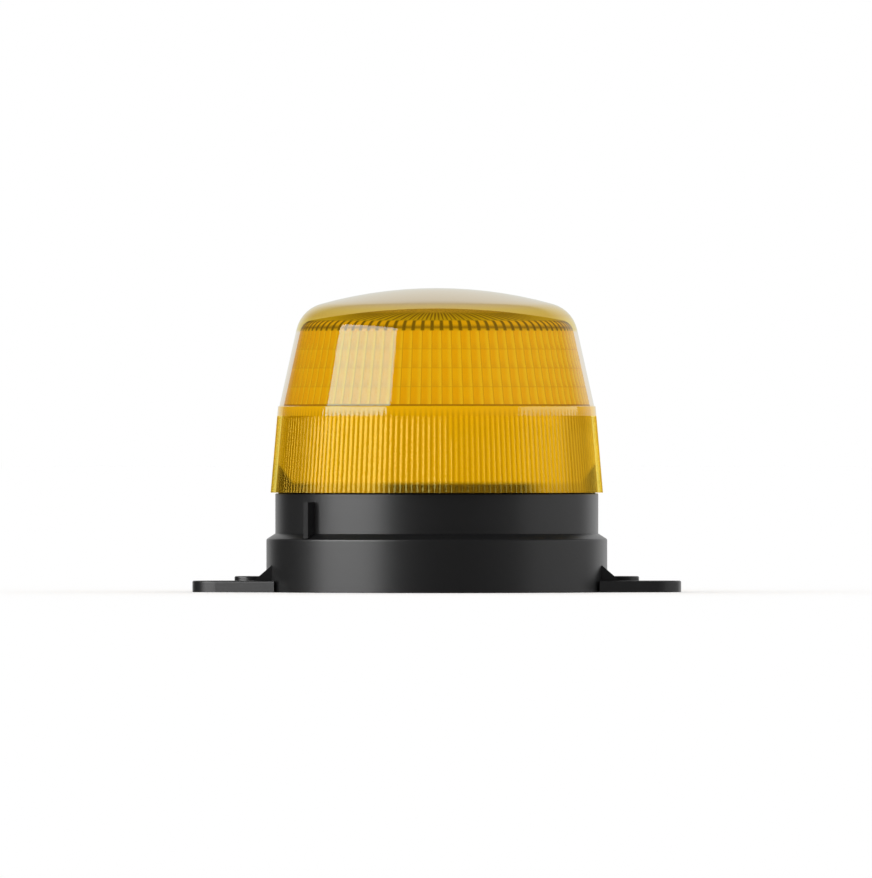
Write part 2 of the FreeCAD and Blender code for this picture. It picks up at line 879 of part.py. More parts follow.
def hexagon(across, x=0.0, y=0.0):
    """Corners of a hexagon with flats facing +X and -X."""
    reach = across / 2 / cosine(30)
    return [
        (x + reach * cosine(30 + 60 * k), y + reach * sine(30 + 60 * k)) for k in range(6)
    ]


def make_cable_gland():
    """Cable gland in the lower cover: a threaded body, the nut inside and the cap outside."""
    x = 0 - gland_ring
    bore = d.cable_bore / 2
    clear = d.gland_thread + d.part_play
    hex_bottom = cover_bottom - d.gland_flange
    tail_bottom = hex_bottom - d.gland_tail
    body = new_body("cable_gland_body")
    turned(body, "gland_tube", [
        (bore, tail_bottom),
        (d.gland_thread, tail_bottom),
        (d.gland_thread, cover_top + d.gland_nut + d.gland_proud),
        (bore, cover_top + d.gland_nut + d.gland_proud),
    ], x=x)
    flange = draw(level_sketch(body, "flange_outline", hex_bottom), hexagon(d.gland_hex * 2, x))
    raised(body, "gland_flange", flange, d.gland_flange)
    bore_sketch = draw_circle(level_sketch(body, "bore_circle", hex_bottom - PAST), x, 0, bore)
    sunk(body, "gland_bore", bore_sketch, d.gland_flange + 2 * PAST)
    keep(body, "cable_gland_body")

    nut = new_body("cable_gland_nut")
    nut_sketch = draw(level_sketch(nut, "nut_outline", cover_top), hexagon(d.gland_hex * 2, x))
    raised(nut, "gland_nut", nut_sketch, d.gland_nut)
    hole = draw_circle(level_sketch(nut, "nut_hole", cover_top - PAST), x, 0, clear)
    sunk(nut, "nut_bore", hole, d.gland_nut + 2 * PAST)
    keep(nut, "cable_gland_nut")

    cap = new_body("cable_gland_cap")
    turned(cap, "gland_cap", [
        (bore, tail_bottom - d.gland_nose),
        (d.gland_hex - d.gland_slant, tail_bottom - d.gland_nose),
        (d.gland_hex, tail_bottom),
        (d.gland_hex, hex_bottom),
        (clear, hex_bottom),
        (clear, tail_bottom - d.part_play),
        (bore, tail_bottom - d.part_play),
    ], x=x)
    keep(cap, "cable_gland_cap")


def make_siren():
    frame = new_body("siren_frame")
    ledge = siren_bore - d.ledge_width
    turned(frame, "frame_cup", [
        (ledge, flange_bottom),
        (siren_flange, flange_bottom),
        (siren_flange, siren_seat),
        (cup_outer, siren_seat),
        (cup_outer, cup_top),
        (siren_bore, cup_top),
        (siren_bore, diaphragm_bottom),
        (ledge, diaphragm_bottom),
    ])
    screw_row(frame, "frame_hole", flange_bottom, d.flange_thick)
    keep(frame, "siren_frame")

    gasket = new_body("siren_gasket")
    band(
        gasket, "siren_seal", cup_outer + d.lug_gap, siren_flange,
        siren_seat, cover_bottom,
    )
    screw_row(gasket, "seal_hole", siren_seat, d.siren_gasket_thick)
    keep(gasket, "siren_gasket")

    grille = new_body("siren_grille")
    band(grille, "grille_disc", 0, siren_flange, grille_bottom, flange_bottom)
    screw_row(grille, "grille_hole", grille_bottom, d.grille_thick)
    slot_length = diaphragm_radius - d.grille_hub
    slot_sketch = draw(level_sketch(grille, "slot_outline", grille_bottom - PAST), rectangle(
        d.grille_hub + slot_length / 2, 0, slot_length, d.grille_slot_width
    ))
    slot = sunk(grille, "slot", slot_sketch, d.grille_thick + 2 * PAST)
    around(grille, "slots", [slot], d.grille_slots)
    keep(grille, "siren_grille")

    top_plate = new_body("siren_top_plate")
    band(
        top_plate, "plate_ring", coil_outer + d.coil_gap, cup_outer, cup_top, magnet_bottom
    )
    keep(top_plate, "siren_top_plate")

    magnet = new_body("siren_magnet")
    band(
        magnet, "ferrite_ring", coil_outer + d.magnet_gap, magnet_radius,
        magnet_bottom, yoke_bottom,
    )
    keep(magnet, "siren_magnet")

    yoke = new_body("siren_yoke")
    turned(yoke, "yoke_and_pole", [
        (0, cup_top),
        (d.pole_radius, cup_top),
        (d.pole_radius, yoke_bottom),
        (magnet_radius, yoke_bottom),
        (magnet_radius, yoke_bottom + d.plate_thick),
        (0, yoke_bottom + d.plate_thick),
    ])
    keep(yoke, "siren_yoke")

    surround = new_body("siren_surround")
    inner = diaphragm_radius + d.surround_play
    roll = (ledge - inner) / 2
    thick = d.diaphragm_thick
    turned(surround, "roll", [
        (inner, diaphragm_bottom),
        (inner + thick, diaphragm_bottom),
        (ledge, diaphragm_bottom, roll * 0.95, -1),
        (siren_bore - d.part_play, diaphragm_bottom),
        (siren_bore - d.part_play, diaphragm_bottom + thick),
        (ledge, diaphragm_bottom + thick),
        (inner, diaphragm_bottom + thick, roll * 1.15, 1),
    ])
    keep(surround, "siren_surround")

    diaphragm = new_body("siren_diaphragm")
    rise = d.diaphragm_rise
    dome_round = (coil_inner * coil_inner + rise * rise) / (2 * rise)
    turned(diaphragm, "cone_and_dome", [
        (0, diaphragm_bottom - rise),
        (coil_inner, diaphragm_bottom, dome_round, 1),
        (diaphragm_radius, diaphragm_bottom),
        (diaphragm_radius, diaphragm_bottom + thick),
        (coil_inner, diaphragm_bottom + thick),
        (0, diaphragm_bottom - rise + thick, dome_round, -1),
    ])
    keep(diaphragm, "siren_diaphragm")

    coil = new_body("siren_voice_coil")
    band(
        coil, "coil", coil_inner, coil_outer, diaphragm_bottom + thick,
        magnet_bottom + d.siren_travel,
    )
    keep(coil, "siren_voice_coil")

    screw_set(
        "siren_screws", siren_screw_ring, 0.0, d.screw_count, grille_bottom,
        cover_top - grille_bottom - d.screw_tip_gap, head_up=False,
    )


def screw_row(body, name, bottom, thick):
    """Holes for the screws that hold the siren under the cover."""
    rounds(
        body, name, siren_screw_ring, 0.0, d.screw_count, screw_hole_radius,
        bottom - PAST, thick + 2 * PAST, cut=True,
    )


# Boards and what they carry

def make_main_board():
    body = new_body("main_board")
    band(body, "board_disc", 0, board_radius, board_height, board_top)
    rounds(
        body, "board_hole", post_ring, d.post_angle, d.post_count, screw_hole_radius,
        board_height - PAST, d.board_thick + 2 * PAST, cut=True,
    )
    rounds(
        body, "tower_hole", tower_screw_ring, d.tower_screw_angle, d.tower_screw_count, screw_hole_radius,
        board_height - PAST, d.board_thick + 2 * PAST, cut=True,
    )
    keep(body, "main_board")
    screw_set(
        "board_screws", post_ring, d.post_angle, d.post_count, board_top,
        d.board_thick + d.screw_grip,
    )
    screw_set(
        "lower_cover_screws", post_ring, d.post_angle, d.post_count, cover_bottom,
        d.cover_thick + d.screw_grip, head_up=False,
    )


def make_led_tower():
    """Six-sided heat sink with a board of LEDs on each side and a round one on top."""
    sink = new_body("led_heat_sink")
    outline = draw(level_sketch(sink, "tower_outline", board_top), hexagon(d.tower_flat))
    raised(sink, "tower", outline, tower_top - board_top)
    bore = draw_circle(level_sketch(sink, "tower_bore_circle", board_top - PAST), 0, 0, d.tower_bore)
    sunk(sink, "tower_bore", bore, tower_top - board_top + 2 * PAST)
    rounds(
        sink, "tower_screw_hole", tower_screw_ring, d.tower_screw_angle, d.tower_screw_count,
        screw_hole_radius, board_top - PAST, tower_top - board_top + 2 * PAST, cut=True,
    )
    keep(sink, "led_heat_sink")

    strips = new_body("led_strips")
    face = d.tower_flat / 2
    strip_bottom = board_top + d.strip_lift
    strip = block(
        strips, "strip", face + d.strip_thick / 2, 0.0, d.strip_thick, d.strip_width,
        strip_bottom, tower_top - d.strip_drop - strip_bottom,
    )
    around(strips, "strip_pattern", [strip], 6)
    keep(strips, "led_strips")

    leds = new_body("led_packages")
    rows = []
    for row in range(DIMENSIONS["led_rows"]):
        rows.append(block(
            leds, "led_%d" % row, face + d.strip_thick + d.led_thick / 2, 0.0,
            d.led_thick, d.led_size, board_top + d.led_lift + row * d.led_pitch, d.led_size,
        ))
    around(leds, "led_pattern", rows, 6)
    keep(leds, "led_packages")

    top = new_body("led_top_board")
    band(top, "top_disc", 0, face, tower_top, tower_top + d.board_thick)
    rounds(
        top, "top_hole", tower_screw_ring, d.tower_screw_angle, d.tower_screw_count, screw_hole_radius,
        tower_top - PAST, d.board_thick + 2 * PAST, cut=True,
    )
    keep(top, "led_top_board")

    top_leds = new_body("led_top_packages")
    top_led = block(
        top_leds, "top_led", d.top_led_ring, 0.0, d.led_size, d.led_size,
        tower_top + d.board_thick, d.led_thick,
    )
    around(top_leds, "top_led_pattern", [top_led], 6)
    keep(top_leds, "led_top_packages")

    screw_set(
        "led_tower_screws", tower_screw_ring, d.tower_screw_angle, d.tower_screw_count, board_height,
        d.board_thick + d.screw_grip, head_up=False,
    )
    screw_set(
        "led_top_screws", tower_screw_ring, d.tower_screw_angle, d.tower_screw_count,
        tower_top + d.board_thick, d.board_thick + d.screw_grip,
    )


def make_board_parts():
    """Capacitors, transformer, chip and small parts on the main board."""
    ring = parts_ring
    capacitors = new_body("power_capacitors")
    pitch = 2 * d.capacitor_radius + d.capacitor_gap
    for index in range(DIMENSIONS["capacitor_count"]):
        x = (index - (d.capacitor_count - 1) / 2) * pitch
        turned(capacitors, "capacitor_%d" % index, [
            (0, board_top),
            (d.capacitor_radius, board_top),
            (d.capacitor_radius, board_top + d.capacitor_height - d.capacitor_crimp),
            (d.capacitor_radius - d.capacitor_crimp, board_top + d.capacitor_height),
            (0, board_top + d.capacitor_height),
        ], x=x, y=ring)
    keep(capacitors, "power_capacitors")

    transformer = new_body("siren_transformer")
    width = d.transformer_width
    flange = d.bobbin_flange
    block(transformer, "bobbin_foot", 0.0, 0 - ring, width, width, board_top, flange)
    block(
        transformer, "winding", 0.0, 0 - ring, width - 2 * flange, width - 2 * flange,
        board_top + flange, d.transformer_height - 2 * flange,
    )
    block(
        transformer, "core_cap", 0.0, 0 - ring, width, width,
        board_top + d.transformer_height - flange, flange,
    )
    keep(transformer, "siren_transformer")

    chip = new_body("controller_chip")
    x, y = on_ring(ring, d.chip_angle)
    block(chip, "package", x, y, d.chip_length, d.chip_width, board_top, d.chip_height)
    keep(chip, "controller_chip")

    connector = new_body("tower_connector")
    x, y = on_ring(ring, d.connector_angle)
    block(
        connector, "header", x, y, d.connector_length, d.connector_width, board_top,
        d.connector_height,
    )
    keep(connector, "tower_connector")

    small = new_body("small_board_parts")
    for index in range(DIMENSIONS["small_part_count"]):
        angle = d.small_part_angle + index * d.small_part_step
        x, y = on_ring(ring - d.small_part_inset, angle)
        block(
            small, "small_part_%d" % index, x, y, d.small_part_length, d.small_part_width,
            board_top, d.small_part_height,
        )
    keep(small, "small_board_parts")


def make_terminal_block():
    """Screw terminals for the supply and the signal wires."""
    body = new_body("terminal_block")
    x = 0 - parts_ring
    length = d.terminal_pitch * d.terminal_count
    block(body, "terminal_case", x, 0.0, d.terminal_depth, length, board_top, d.terminal_height)
    screws = new_body("terminal_screws")
    top = board_top + d.terminal_height
    well_bottom = top - d.terminal_screw_depth - PAST
    for index in range(DIMENSIONS["terminal_count"]):
        y = (index - (d.terminal_count - 1) / 2) * d.terminal_pitch
        well = draw_circle(
            level_sketch(body, "well_%d_circle" % index, well_bottom), x, y, d.terminal_well
        )
        sunk(body, "well_%d" % index, well, d.terminal_screw_depth + 2 * PAST)
        mouth = draw(
            level_sketch(body, "mouth_%d_outline" % index, board_top + d.terminal_mouth_lift),
            rectangle(x - d.terminal_depth / 2, y, d.terminal_depth, d.terminal_mouth_width),
        )
        sunk(body, "mouth_%d" % index, mouth, d.terminal_mouth_height)
        head = draw_circle(
            level_sketch(screws, "screw_%d_circle" % index, well_bottom), x, y,
            d.terminal_well - d.part_play,
        )
        raised(screws, "screw_%d" % index, head, d.terminal_screw_depth)
    keep(body, "terminal_block")
    keep(screws, "terminal_screws")


def make_setting_switches():
    """Four slide switches in one case, which choose the flash and the tone."""
    body = new_body("dip_switch_body")
    x = parts_ring
    middle_y = d.control_offset
    length = d.switch_pitch * d.switch_count
    top = board_top + d.switch_height
    block(body, "switch_case", x, middle_y, d.switch_depth, length, board_top, d.switch_height)
    window = d.slider_size + d.slider_travel + 2 * d.slider_play
    depth = d.slider_size + d.slider_play
    for index in range(DIMENSIONS["switch_count"]):
        y = middle_y + (index - (d.switch_count - 1) / 2) * d.switch_pitch
        slot = draw(
            level_sketch(body, "window_%d_outline" % index, top - depth),
            rectangle(x, y, window, d.slider_size + 2 * d.slider_play),
        )
        sunk(body, "window_%d" % index, slot, depth + PAST)
        slider = new_body("dip_slider_%d" % (index + 1))
        block(
            slider, "slider_%d" % index, x - d.slider_travel / 2, y, d.slider_size,
            d.slider_size, top - d.slider_size, d.slider_size + d.slider_proud,
        )
        keep(slider, "dip_slider_%d" % (index + 1))
    keep(body, "dip_switch_body")


def make_volume_trimmer():
    """Trimmer that sets how loud the siren is: a square case and a slotted rotor."""
    body = new_body("volume_trimmer_body")
    x = parts_ring
    y = 0 - d.control_offset
    top = board_top + d.trimmer_height
    rotor_bottom = top - d.rotor_depth
    well_bottom = rotor_bottom - d.rotor_play
    block(
        body, "trimmer_case", x, y, d.trimmer_width, d.trimmer_width, board_top,
        d.trimmer_height,
    )
    well = draw_circle(
        level_sketch(body, "rotor_well", well_bottom), x, y, d.rotor_radius + d.rotor_play
    )
    sunk(body, "rotor_hole", well, top - well_bottom + PAST)
    keep(body, "volume_trimmer_body")
    rotor = new_body("volume_trimmer_rotor")
    rotor_top = top + d.rotor_proud
    turned(rotor, "rotor", [
        (0, rotor_bottom),
        (d.rotor_radius, rotor_bottom),
        (d.rotor_radius, rotor_top),
        (0, rotor_top),
    ], x=x, y=y)
    groove = draw(
        level_sketch(rotor, "driver_slot_outline", rotor_top - d.driver_slot_depth),
        rectangle(x, y, d.driver_slot_length, d.driver_slot_width),
    )
    sunk(rotor, "driver_slot", groove, d.driver_slot_depth + PAST)
    keep(rotor, "volume_trimmer_rotor")


# Lens

class Shoulder:
    """The rounded shoulder between the lens's cone and its crown, drawn inset below the outside
    by a wall, with the points where it meets them."""

    def __init__(self, inset):
        self.round = d.shoulder_round - inset
        self.crown = d.crown_round - inset
        self.crown_centre = lens_height - d.crown_round
        along, out = sine(d.cone_angle), cosine(d.cone_angle)
        foot = cone_radius() * out + plain_top * along - d.shoulder_round
        across = foot - self.crown_centre * along
        reach = d.crown_round - d.shoulder_round
        climb = root(reach * reach - across * across)
        self.x = across * out - climb * along
        self.z = self.crown_centre + across * along + climb * out
        self.cone_x = self.x + self.round * out
        self.cone_z = self.z + self.round * along
        self.crown_x = self.x * self.crown / reach
        self.crown_z = self.crown_centre + (self.z - self.crown_centre) * self.crown / reach


def skirt_radius(height):
    """Outside of the skirt, on the crests of its ribs."""
    return lens_radius - (height - lens_bottom) * tangent(d.lens_draft)


def cone_radius():
    """Outside of the cone, where it starts above the plain band."""
    return skirt_radius(plain_top) - d.lens_step


def closed_wire(points):
    return Part.makePolygon(points + [points[0]])


def many_sided(sides, height, radii):
    """A closed level wire whose corners take the radii in turn."""
    corners = sides * len(radii)
    points = []
    for index in range(corners):
        angle = 2 * math.pi * index / corners
        radius = radii[index % len(radii)]
        points.append(
            FreeCAD.Vector(radius * math.cos(angle), radius * math.sin(angle), height)
        )
    return closed_wire(points)


def ribbed_skirt():
    """The outside of the skirt: upright ribs, drafted inwards towards the top."""
    wires = []
    for height in (lens_bottom, rib_top):
        crest = skirt_radius(height).value
        wires.append(
            many_sided(int(d.lens_ribs.value), height.value, [crest, crest - d.rib_depth.value])
        )
    return Part.makeLoft(wires, True, True)


def pillow_core():
    """The inside of the cone and shoulder: rows of pillows on the cone, which bulge inwards
    between ridges, and a flute below each column on the shoulder."""
    inner = Shoulder(d.lens_wall)
    sides = int(d.optic_columns.value)
    rows = int(d.optic_rows.value)
    slant = math.tan(math.radians(d.cone_angle.value))
    bottom = plain_top.value
    top = inner.cone_z.value
    start = inner.cone_x.value + (top - bottom) * slant
    wires = []
    for step in range(2 * rows + 1):
        height = bottom + (top - bottom) * step / (2 * rows)
        radius = start - (height - bottom) * slant
        if step % 2:
            radius -= d.optic_depth.value
        wires.append(many_sided(sides, height, [radius]))
    first = math.radians(d.cone_angle.value)
    last = math.atan2(
        inner.crown_z.value - inner.z.value, inner.crown_x.value - inner.x.value
    )
    for step in range(1, 5):
        angle = first + (last - first) * step / 4
        radius = inner.x.value + inner.round.value * math.cos(angle)
        height = inner.z.value + inner.round.value * math.sin(angle)
        wires.append(many_sided(sides, height, [radius]))
    return Part.makeLoft(wires, True, True)


def make_lens_dome():
    outer = Shoulder(0.0)
    shell = new_body("lens_outside")
    turned(shell, "smooth_outside", [
        (0, rib_top),
        (skirt_radius(rib_top), rib_top),
        (skirt_radius(plain_top), plain_top),
        (cone_radius(), plain_top),
        (outer.cone_x, outer.cone_z),
        (outer.crown_x, outer.crown_z, outer.round, 1),
        (0, lens_height, outer.crown, 1),
    ])
    inner = Shoulder(d.lens_wall)
    core = new_body("lens_inside")
    band_inner = skirt_inner - (plain_top - lens_bottom) * tangent(d.lens_draft)
    turned(core, "skirt_inside", [
        (0, lens_bottom - PAST),
        (skirt_inner + PAST * tangent(d.lens_draft), lens_bottom - PAST),
        (band_inner, plain_top),
        (0, plain_top),
    ])
    crown_floor = inner.crown_z
    cap = new_body("crown_inside")
    turned(cap, "crown_hollow", [
        (0, crown_floor),
        (inner.crown_x * cosine(2), crown_floor),
        (0, lens_height - d.lens_wall, inner.crown, 1),
    ])
    lugs = new_body("lens_lugs")
    lug = band(
        lugs, "lens_lug", collar_radius + d.lug_gap, skirt_inner + ROOTED, lens_lug_bottom,
        lens_lug_top, sweep=d.lens_lug_span, start=d.lens_lug_angle - d.lens_lug_span / 2,
    )
    around(lugs, "lens_lug_pattern", [lug], d.lens_lug_count)
    doc.recompute()

    skirt = doc.addObject("Part::Feature", "ribbed_skirt")
    skirt.Shape = ribbed_skirt()
    pillows = doc.addObject("Part::Feature", "pillow_core")
    pillows.Shape = pillow_core()
    lower = less("ribbed_shell", skirt, [core])
    upper = less("smooth_shell", shell, [pillows, core, cap])
    lens = doc.addObject("Part::MultiFuse", "lens_dome")
    lens.Shapes = [lower, upper, lugs]
    lens.Refine = False
    return keep(lens, "lens_dome")


def less(name, base, tools):
    """Cuts each tool from the base in turn."""
    for index, tool in enumerate(tools):
        cut = doc.addObject("Part::Cut", "%s_%d" % (name, index))
        cut.Base = base
        cut.Tool = tool
        cut.Refine = False
        base = cut
    return base


def check_document():
    """Stops with a plain message if a feature failed or cut nothing, or a shape is bad."""
    for item in doc.Objects:
        if "Invalid" in item.State or "Error" in item.State:
            raise RuntimeError("%s failed: %s" % (item.Label, item.State))
        if item.isDerivedFrom("PartDesign::Pocket") or item.isDerivedFrom("PartDesign::Groove"):
            if item.Shape.Volume > item.BaseFeature.Shape.Volume - 1e-6:
                raise RuntimeError("%s cuts nothing" % item.Label)
    for item in parts:
        if item.Shape.isNull() or not item.Shape.isValid():
            raise RuntimeError("%s has no valid shape" % item.Label)


def write_parts():
    os.makedirs(OUT, exist_ok=True)
    for item in parts:
        item.Shape.exportStep(os.path.join(OUT, item.Label + ".step"))
        print("%-22s %2d solids %10.1f mm3" % (
            item.Label, len(item.Shape.Solids), item.Shape.Volume
        ))


make_mounting_base()
make_base_gasket()
make_cable_grommet()
make_body_housing()
make_lens_seal()
make_lower_cover()
make_housing_o_ring()
make_cable_gland()
make_siren()
make_main_board()
make_led_tower()
make_board_parts()
make_terminal_block()
make_setting_switches()
make_volume_trimmer()
make_lens_dome()
doc.recompute()
check_document()
write_parts()
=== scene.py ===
# %% [markdown]
# # An amber warning light, dressed for its picture
# The imported model gives every rigid piece at its real size. This lesson adds what that model
# leaves plain: the moulded optics of the lens, the finish of every material, a studio and a
# camera. It starts by loading the frame.

# %% Load the frame
import json
import math
import bmesh
import bpy
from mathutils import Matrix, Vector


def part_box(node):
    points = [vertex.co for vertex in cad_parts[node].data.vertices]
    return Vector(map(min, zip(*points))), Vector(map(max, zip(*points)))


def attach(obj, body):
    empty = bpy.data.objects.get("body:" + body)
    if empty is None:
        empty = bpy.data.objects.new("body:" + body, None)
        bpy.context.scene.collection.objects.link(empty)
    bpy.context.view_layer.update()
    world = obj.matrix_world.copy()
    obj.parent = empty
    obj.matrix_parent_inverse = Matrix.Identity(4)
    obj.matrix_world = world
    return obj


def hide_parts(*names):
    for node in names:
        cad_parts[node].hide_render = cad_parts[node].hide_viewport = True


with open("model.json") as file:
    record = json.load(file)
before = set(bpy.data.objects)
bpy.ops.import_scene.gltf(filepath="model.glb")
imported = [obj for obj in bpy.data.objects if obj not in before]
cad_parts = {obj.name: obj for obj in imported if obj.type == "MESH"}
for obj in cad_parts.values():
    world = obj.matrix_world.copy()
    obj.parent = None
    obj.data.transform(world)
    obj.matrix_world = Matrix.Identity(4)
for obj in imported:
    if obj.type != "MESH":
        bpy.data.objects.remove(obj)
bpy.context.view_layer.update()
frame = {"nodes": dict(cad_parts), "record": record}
MM = 0.001


# %% [markdown]
# ## Two helpers
# Colours are written as the sRGB hex values that a painter's app shows, and Blender's sockets
# want linear light, so one function converts them. Trees of nodes are long to build by hand, so
# one function adds a node, sets it up and links it.

# %% Helpers for colours and node trees
MATH = "ShaderNodeMath"


def linear(hex_colour):
    """An sRGB hex value as linear red, green, blue and an alpha of 1."""
    channels = [int(hex_colour[i:i + 2], 16) / 255 for i in (1, 3, 5)]
    bent = [c / 12.92 if c <= 0.04045 else ((c + 0.055) / 1.055) ** 2.4 for c in channels]
    return (*bent, 1.0)


def add(tree, kind, inputs=None, **settings):
    """Adds a node. A value in inputs is a number, a colour, a socket to link from, or a node
    whose first output is linked."""
    node = tree.nodes.new(kind)
    for name, value in settings.items():
        setattr(node, name, value)
    for key, value in (inputs or {}).items():
        source = value.outputs[0] if isinstance(value, bpy.types.Node) else value
        if isinstance(source, bpy.types.NodeSocket):
            tree.links.new(source, node.inputs[key])
        else:
            node.inputs[key].default_value = source
    return node


print("the amber of the lens in linear light:", [round(c, 3) for c in linear("#ffca0a")])

# %% [markdown]
# ## The camera
# The picture is level with the object and was taken from far away with a long lens: the top and
# bottom of each cylinder are straight lines in it. A long lens at a distance of metres repeats
# that. Its height is where the middle of the picture cuts the object.

# %% Camera
IMAGE_WIDTH, IMAGE_HEIGHT = 872, 878
MM_PER_PIXEL = 0.352
AXIS_COLUMN, FLOOR_ROW = 436.8, 592.0
LENS_LENGTH, SENSOR = 1000.0, 36.0

view_height = IMAGE_HEIGHT * MM_PER_PIXEL * MM
distance = view_height * LENS_LENGTH / SENSOR
centre_x = (IMAGE_WIDTH / 2 - AXIS_COLUMN) * MM_PER_PIXEL * MM
centre_z = (FLOOR_ROW - IMAGE_HEIGHT / 2) * MM_PER_PIXEL * MM

camera_data = bpy.data.cameras.new("camera")
camera_data.lens = LENS_LENGTH
camera_data.sensor_width = SENSOR
camera_data.clip_end = 100.0
camera = bpy.data.objects.new("camera", camera_data)
bpy.context.scene.collection.objects.link(camera)
camera.location = (centre_x, -distance, centre_z)
camera.rotation_euler = (math.pi / 2, 0, 0)
bpy.context.scene.camera = camera
bpy.context.scene.view_settings.view_transform = "Standard"
print("camera is %.2f m away at a height of %.1f mm" % (distance, centre_z / MM))

# %% [markdown]
# ## The lens and its rule
# The lens is one clear amber moulding. Outside it has fine upright ribs round its skirt, then a
# smooth cone and a low crown. Inside it has rows of small pillows, which spread the light, and
# flutes that run over the shoulder and in under the crown. All of that follows a rule: a profile
# is turned about the axis, and its radius or height changes with the angle. So the profile is
# drawn once, each of its points carries how strongly it takes part in each pattern, and Geometry
# Nodes do the turning. The lens's place and reach come from the frame. Its other sizes were
# measured on the picture, and its walls have the usual thickness of such a moulding.

# %% Sizes of the lens
low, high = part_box("lens_dome")
LENS_BOTTOM = low.z
LENS_TOP = high.z
SKIRT_RADIUS = high.x
DRAFT = math.radians(4.9)
CONE = math.radians(12.5)
RIB_TOP = LENS_BOTTOM + 27 * MM
BAND_TOP = RIB_TOP + 3.4 * MM
STEP = 0.5 * MM
SHOULDER_ROUND = 12 * MM
CROWN_ROUND = 152 * MM
INNER_SHOULDER_ROUND = 5 * MM
INNER_CROWN_ROUND = 240 * MM
SHELL = 1.5 * MM
SKIRT_WALL = 1.8 * MM
CROWN_WALL = 7.2 * MM
ROWS, COLUMNS, RIBS = 4, 90, 180
RIB_DEPTH = 0.25 * MM
GROOVE_SHARPNESS = 4.0
PILLOW_DEPTH = 0.5 * MM
FLUTE_DEPTH = 0.7 * MM
FLUTE_END = 25 * MM
MERGE = 0.002 * MM
PATTERNS = ("rib", "pillow", "flute")
print("lens from %.1f to %.1f mm" % (LENS_BOTTOM / MM, LENS_TOP / MM))


def skirt_radius(z):
    """The outer radius of the drafted skirt at a height, over its ribs."""
    return SKIRT_RADIUS - (z - LENS_BOTTOM) * math.tan(DRAFT)


def shoulder_circle(inset, top, crown, rounding):
    """Centre of the round that touches the cone, drawn inset, and a crown of that radius under
    top, and the angle at which it meets the crown."""
    reach = crown - rounding
    line = (skirt_radius(BAND_TOP) - STEP - inset) * math.cos(CONE)
    line += BAND_TOP * math.sin(CONE) - rounding
    across = line - (top - crown) * math.sin(CONE)
    climb = math.sqrt(reach ** 2 - across ** 2)
    x = across * math.cos(CONE) - climb * math.sin(CONE)
    z = top - crown + across * math.sin(CONE) + climb * math.cos(CONE)
    return x, z, math.atan2(z - top + crown, x)


def dome(inset, top, crown, rounding, steps):
    """Points over the shoulder and along the crown to the axis."""
    x, z, crown_angle = shoulder_circle(inset, top, crown, rounding)
    points = []
    for step in range(steps + 1):
        angle = CONE + (crown_angle - CONE) * step / steps
        points.append((x + rounding * math.cos(angle), z + rounding * math.sin(angle)))
    for step in range(1, steps + 1):
        angle = crown_angle + (math.pi / 2 - crown_angle) * step / steps
        on_axis = step == steps
        points.append((
            0.0 if on_axis else crown * math.cos(angle), top - crown + crown * math.sin(angle),
        ))
    return points


# %% [markdown]
# The outside goes up from the rim to the top of the crown. The inside goes the same way, past the
# rows of pillows and over the shoulder. Each point is a radius, a height and three weights: for
# the ribs, for the pillows and for the flutes.

# %% Profiles of the outside and the inside
STEPS = 7
PILLOW_STEPS = 5
EASE = 0.15 * MM


def outside_profile():
    """The ribs fade out just under the plain band, and a small step leads to the cone."""
    middle = (LENS_BOTTOM + RIB_TOP) / 2
    heights = (LENS_BOTTOM, middle, RIB_TOP - 4 * EASE, RIB_TOP - 2 * EASE, RIB_TOP, BAND_TOP - EASE)
    ribs = (1.0, 1.0, 1.0, 0.7, 0.0, 0.0)
    points = [(skirt_radius(z), z, rib, 0, 0) for z, rib in zip(heights, ribs)]
    points.append((skirt_radius(BAND_TOP) - EASE, BAND_TOP, 0, 0, 0))
    points.append((skirt_radius(BAND_TOP) - STEP, BAND_TOP + EASE, 0, 0, 0))
    over = dome(0.0, LENS_TOP, CROWN_ROUND, SHOULDER_ROUND, STEPS)
    return points + [(r, z, 0, 0, 0) for r, z in over]


def inside_profile(over):
    """A plain skirt, the pillows up the cone, and flutes that fade out over the crown."""
    foot = skirt_radius(BAND_TOP) - STEP - SHELL
    top_radius, top_height = over[0]
    points = [
        (SKIRT_RADIUS, LENS_BOTTOM, 1.0, 0, 0),
        (SKIRT_RADIUS - SKIRT_WALL, LENS_BOTTOM, 0, 0, 0),
        (skirt_radius(RIB_TOP) - SKIRT_WALL, RIB_TOP, 0, 0, 0),
        (skirt_radius(BAND_TOP) - SKIRT_WALL, BAND_TOP - 2 * EASE, 0, 0, 0),
    ]
    for step in range(ROWS * PILLOW_STEPS):
        share = step / (ROWS * PILLOW_STEPS)
        within = step % PILLOW_STEPS / PILLOW_STEPS
        points.append((
            foot + (top_radius - foot) * share, BAND_TOP + (top_height - BAND_TOP) * share,
            0, 1 - (2 * within - 1) ** 2, 0,
        ))
    crown_edge = over[STEPS][0]
    for radius, height in over:
        fading = (radius - FLUTE_END) / (crown_edge - FLUTE_END)
        points.append((radius, height, 0, 0, min(1.0, max(0.0, fading))))
    return points


def profile_object(name, points):
    """A chain of points whose weights are attributes that Geometry Nodes can read."""
    mesh = bpy.data.meshes.new(name)
    mesh.from_pydata([(p[0], 0, p[1]) for p in points], [], [])
    for index, pattern in enumerate(PATTERNS, start=2):
        attribute = mesh.attributes.new(pattern, "FLOAT", "POINT")
        attribute.data.foreach_set("value", [float(p[index]) for p in points])
    item = bpy.data.objects.new(name, mesh)
    bpy.context.scene.collection.objects.link(item)
    return item


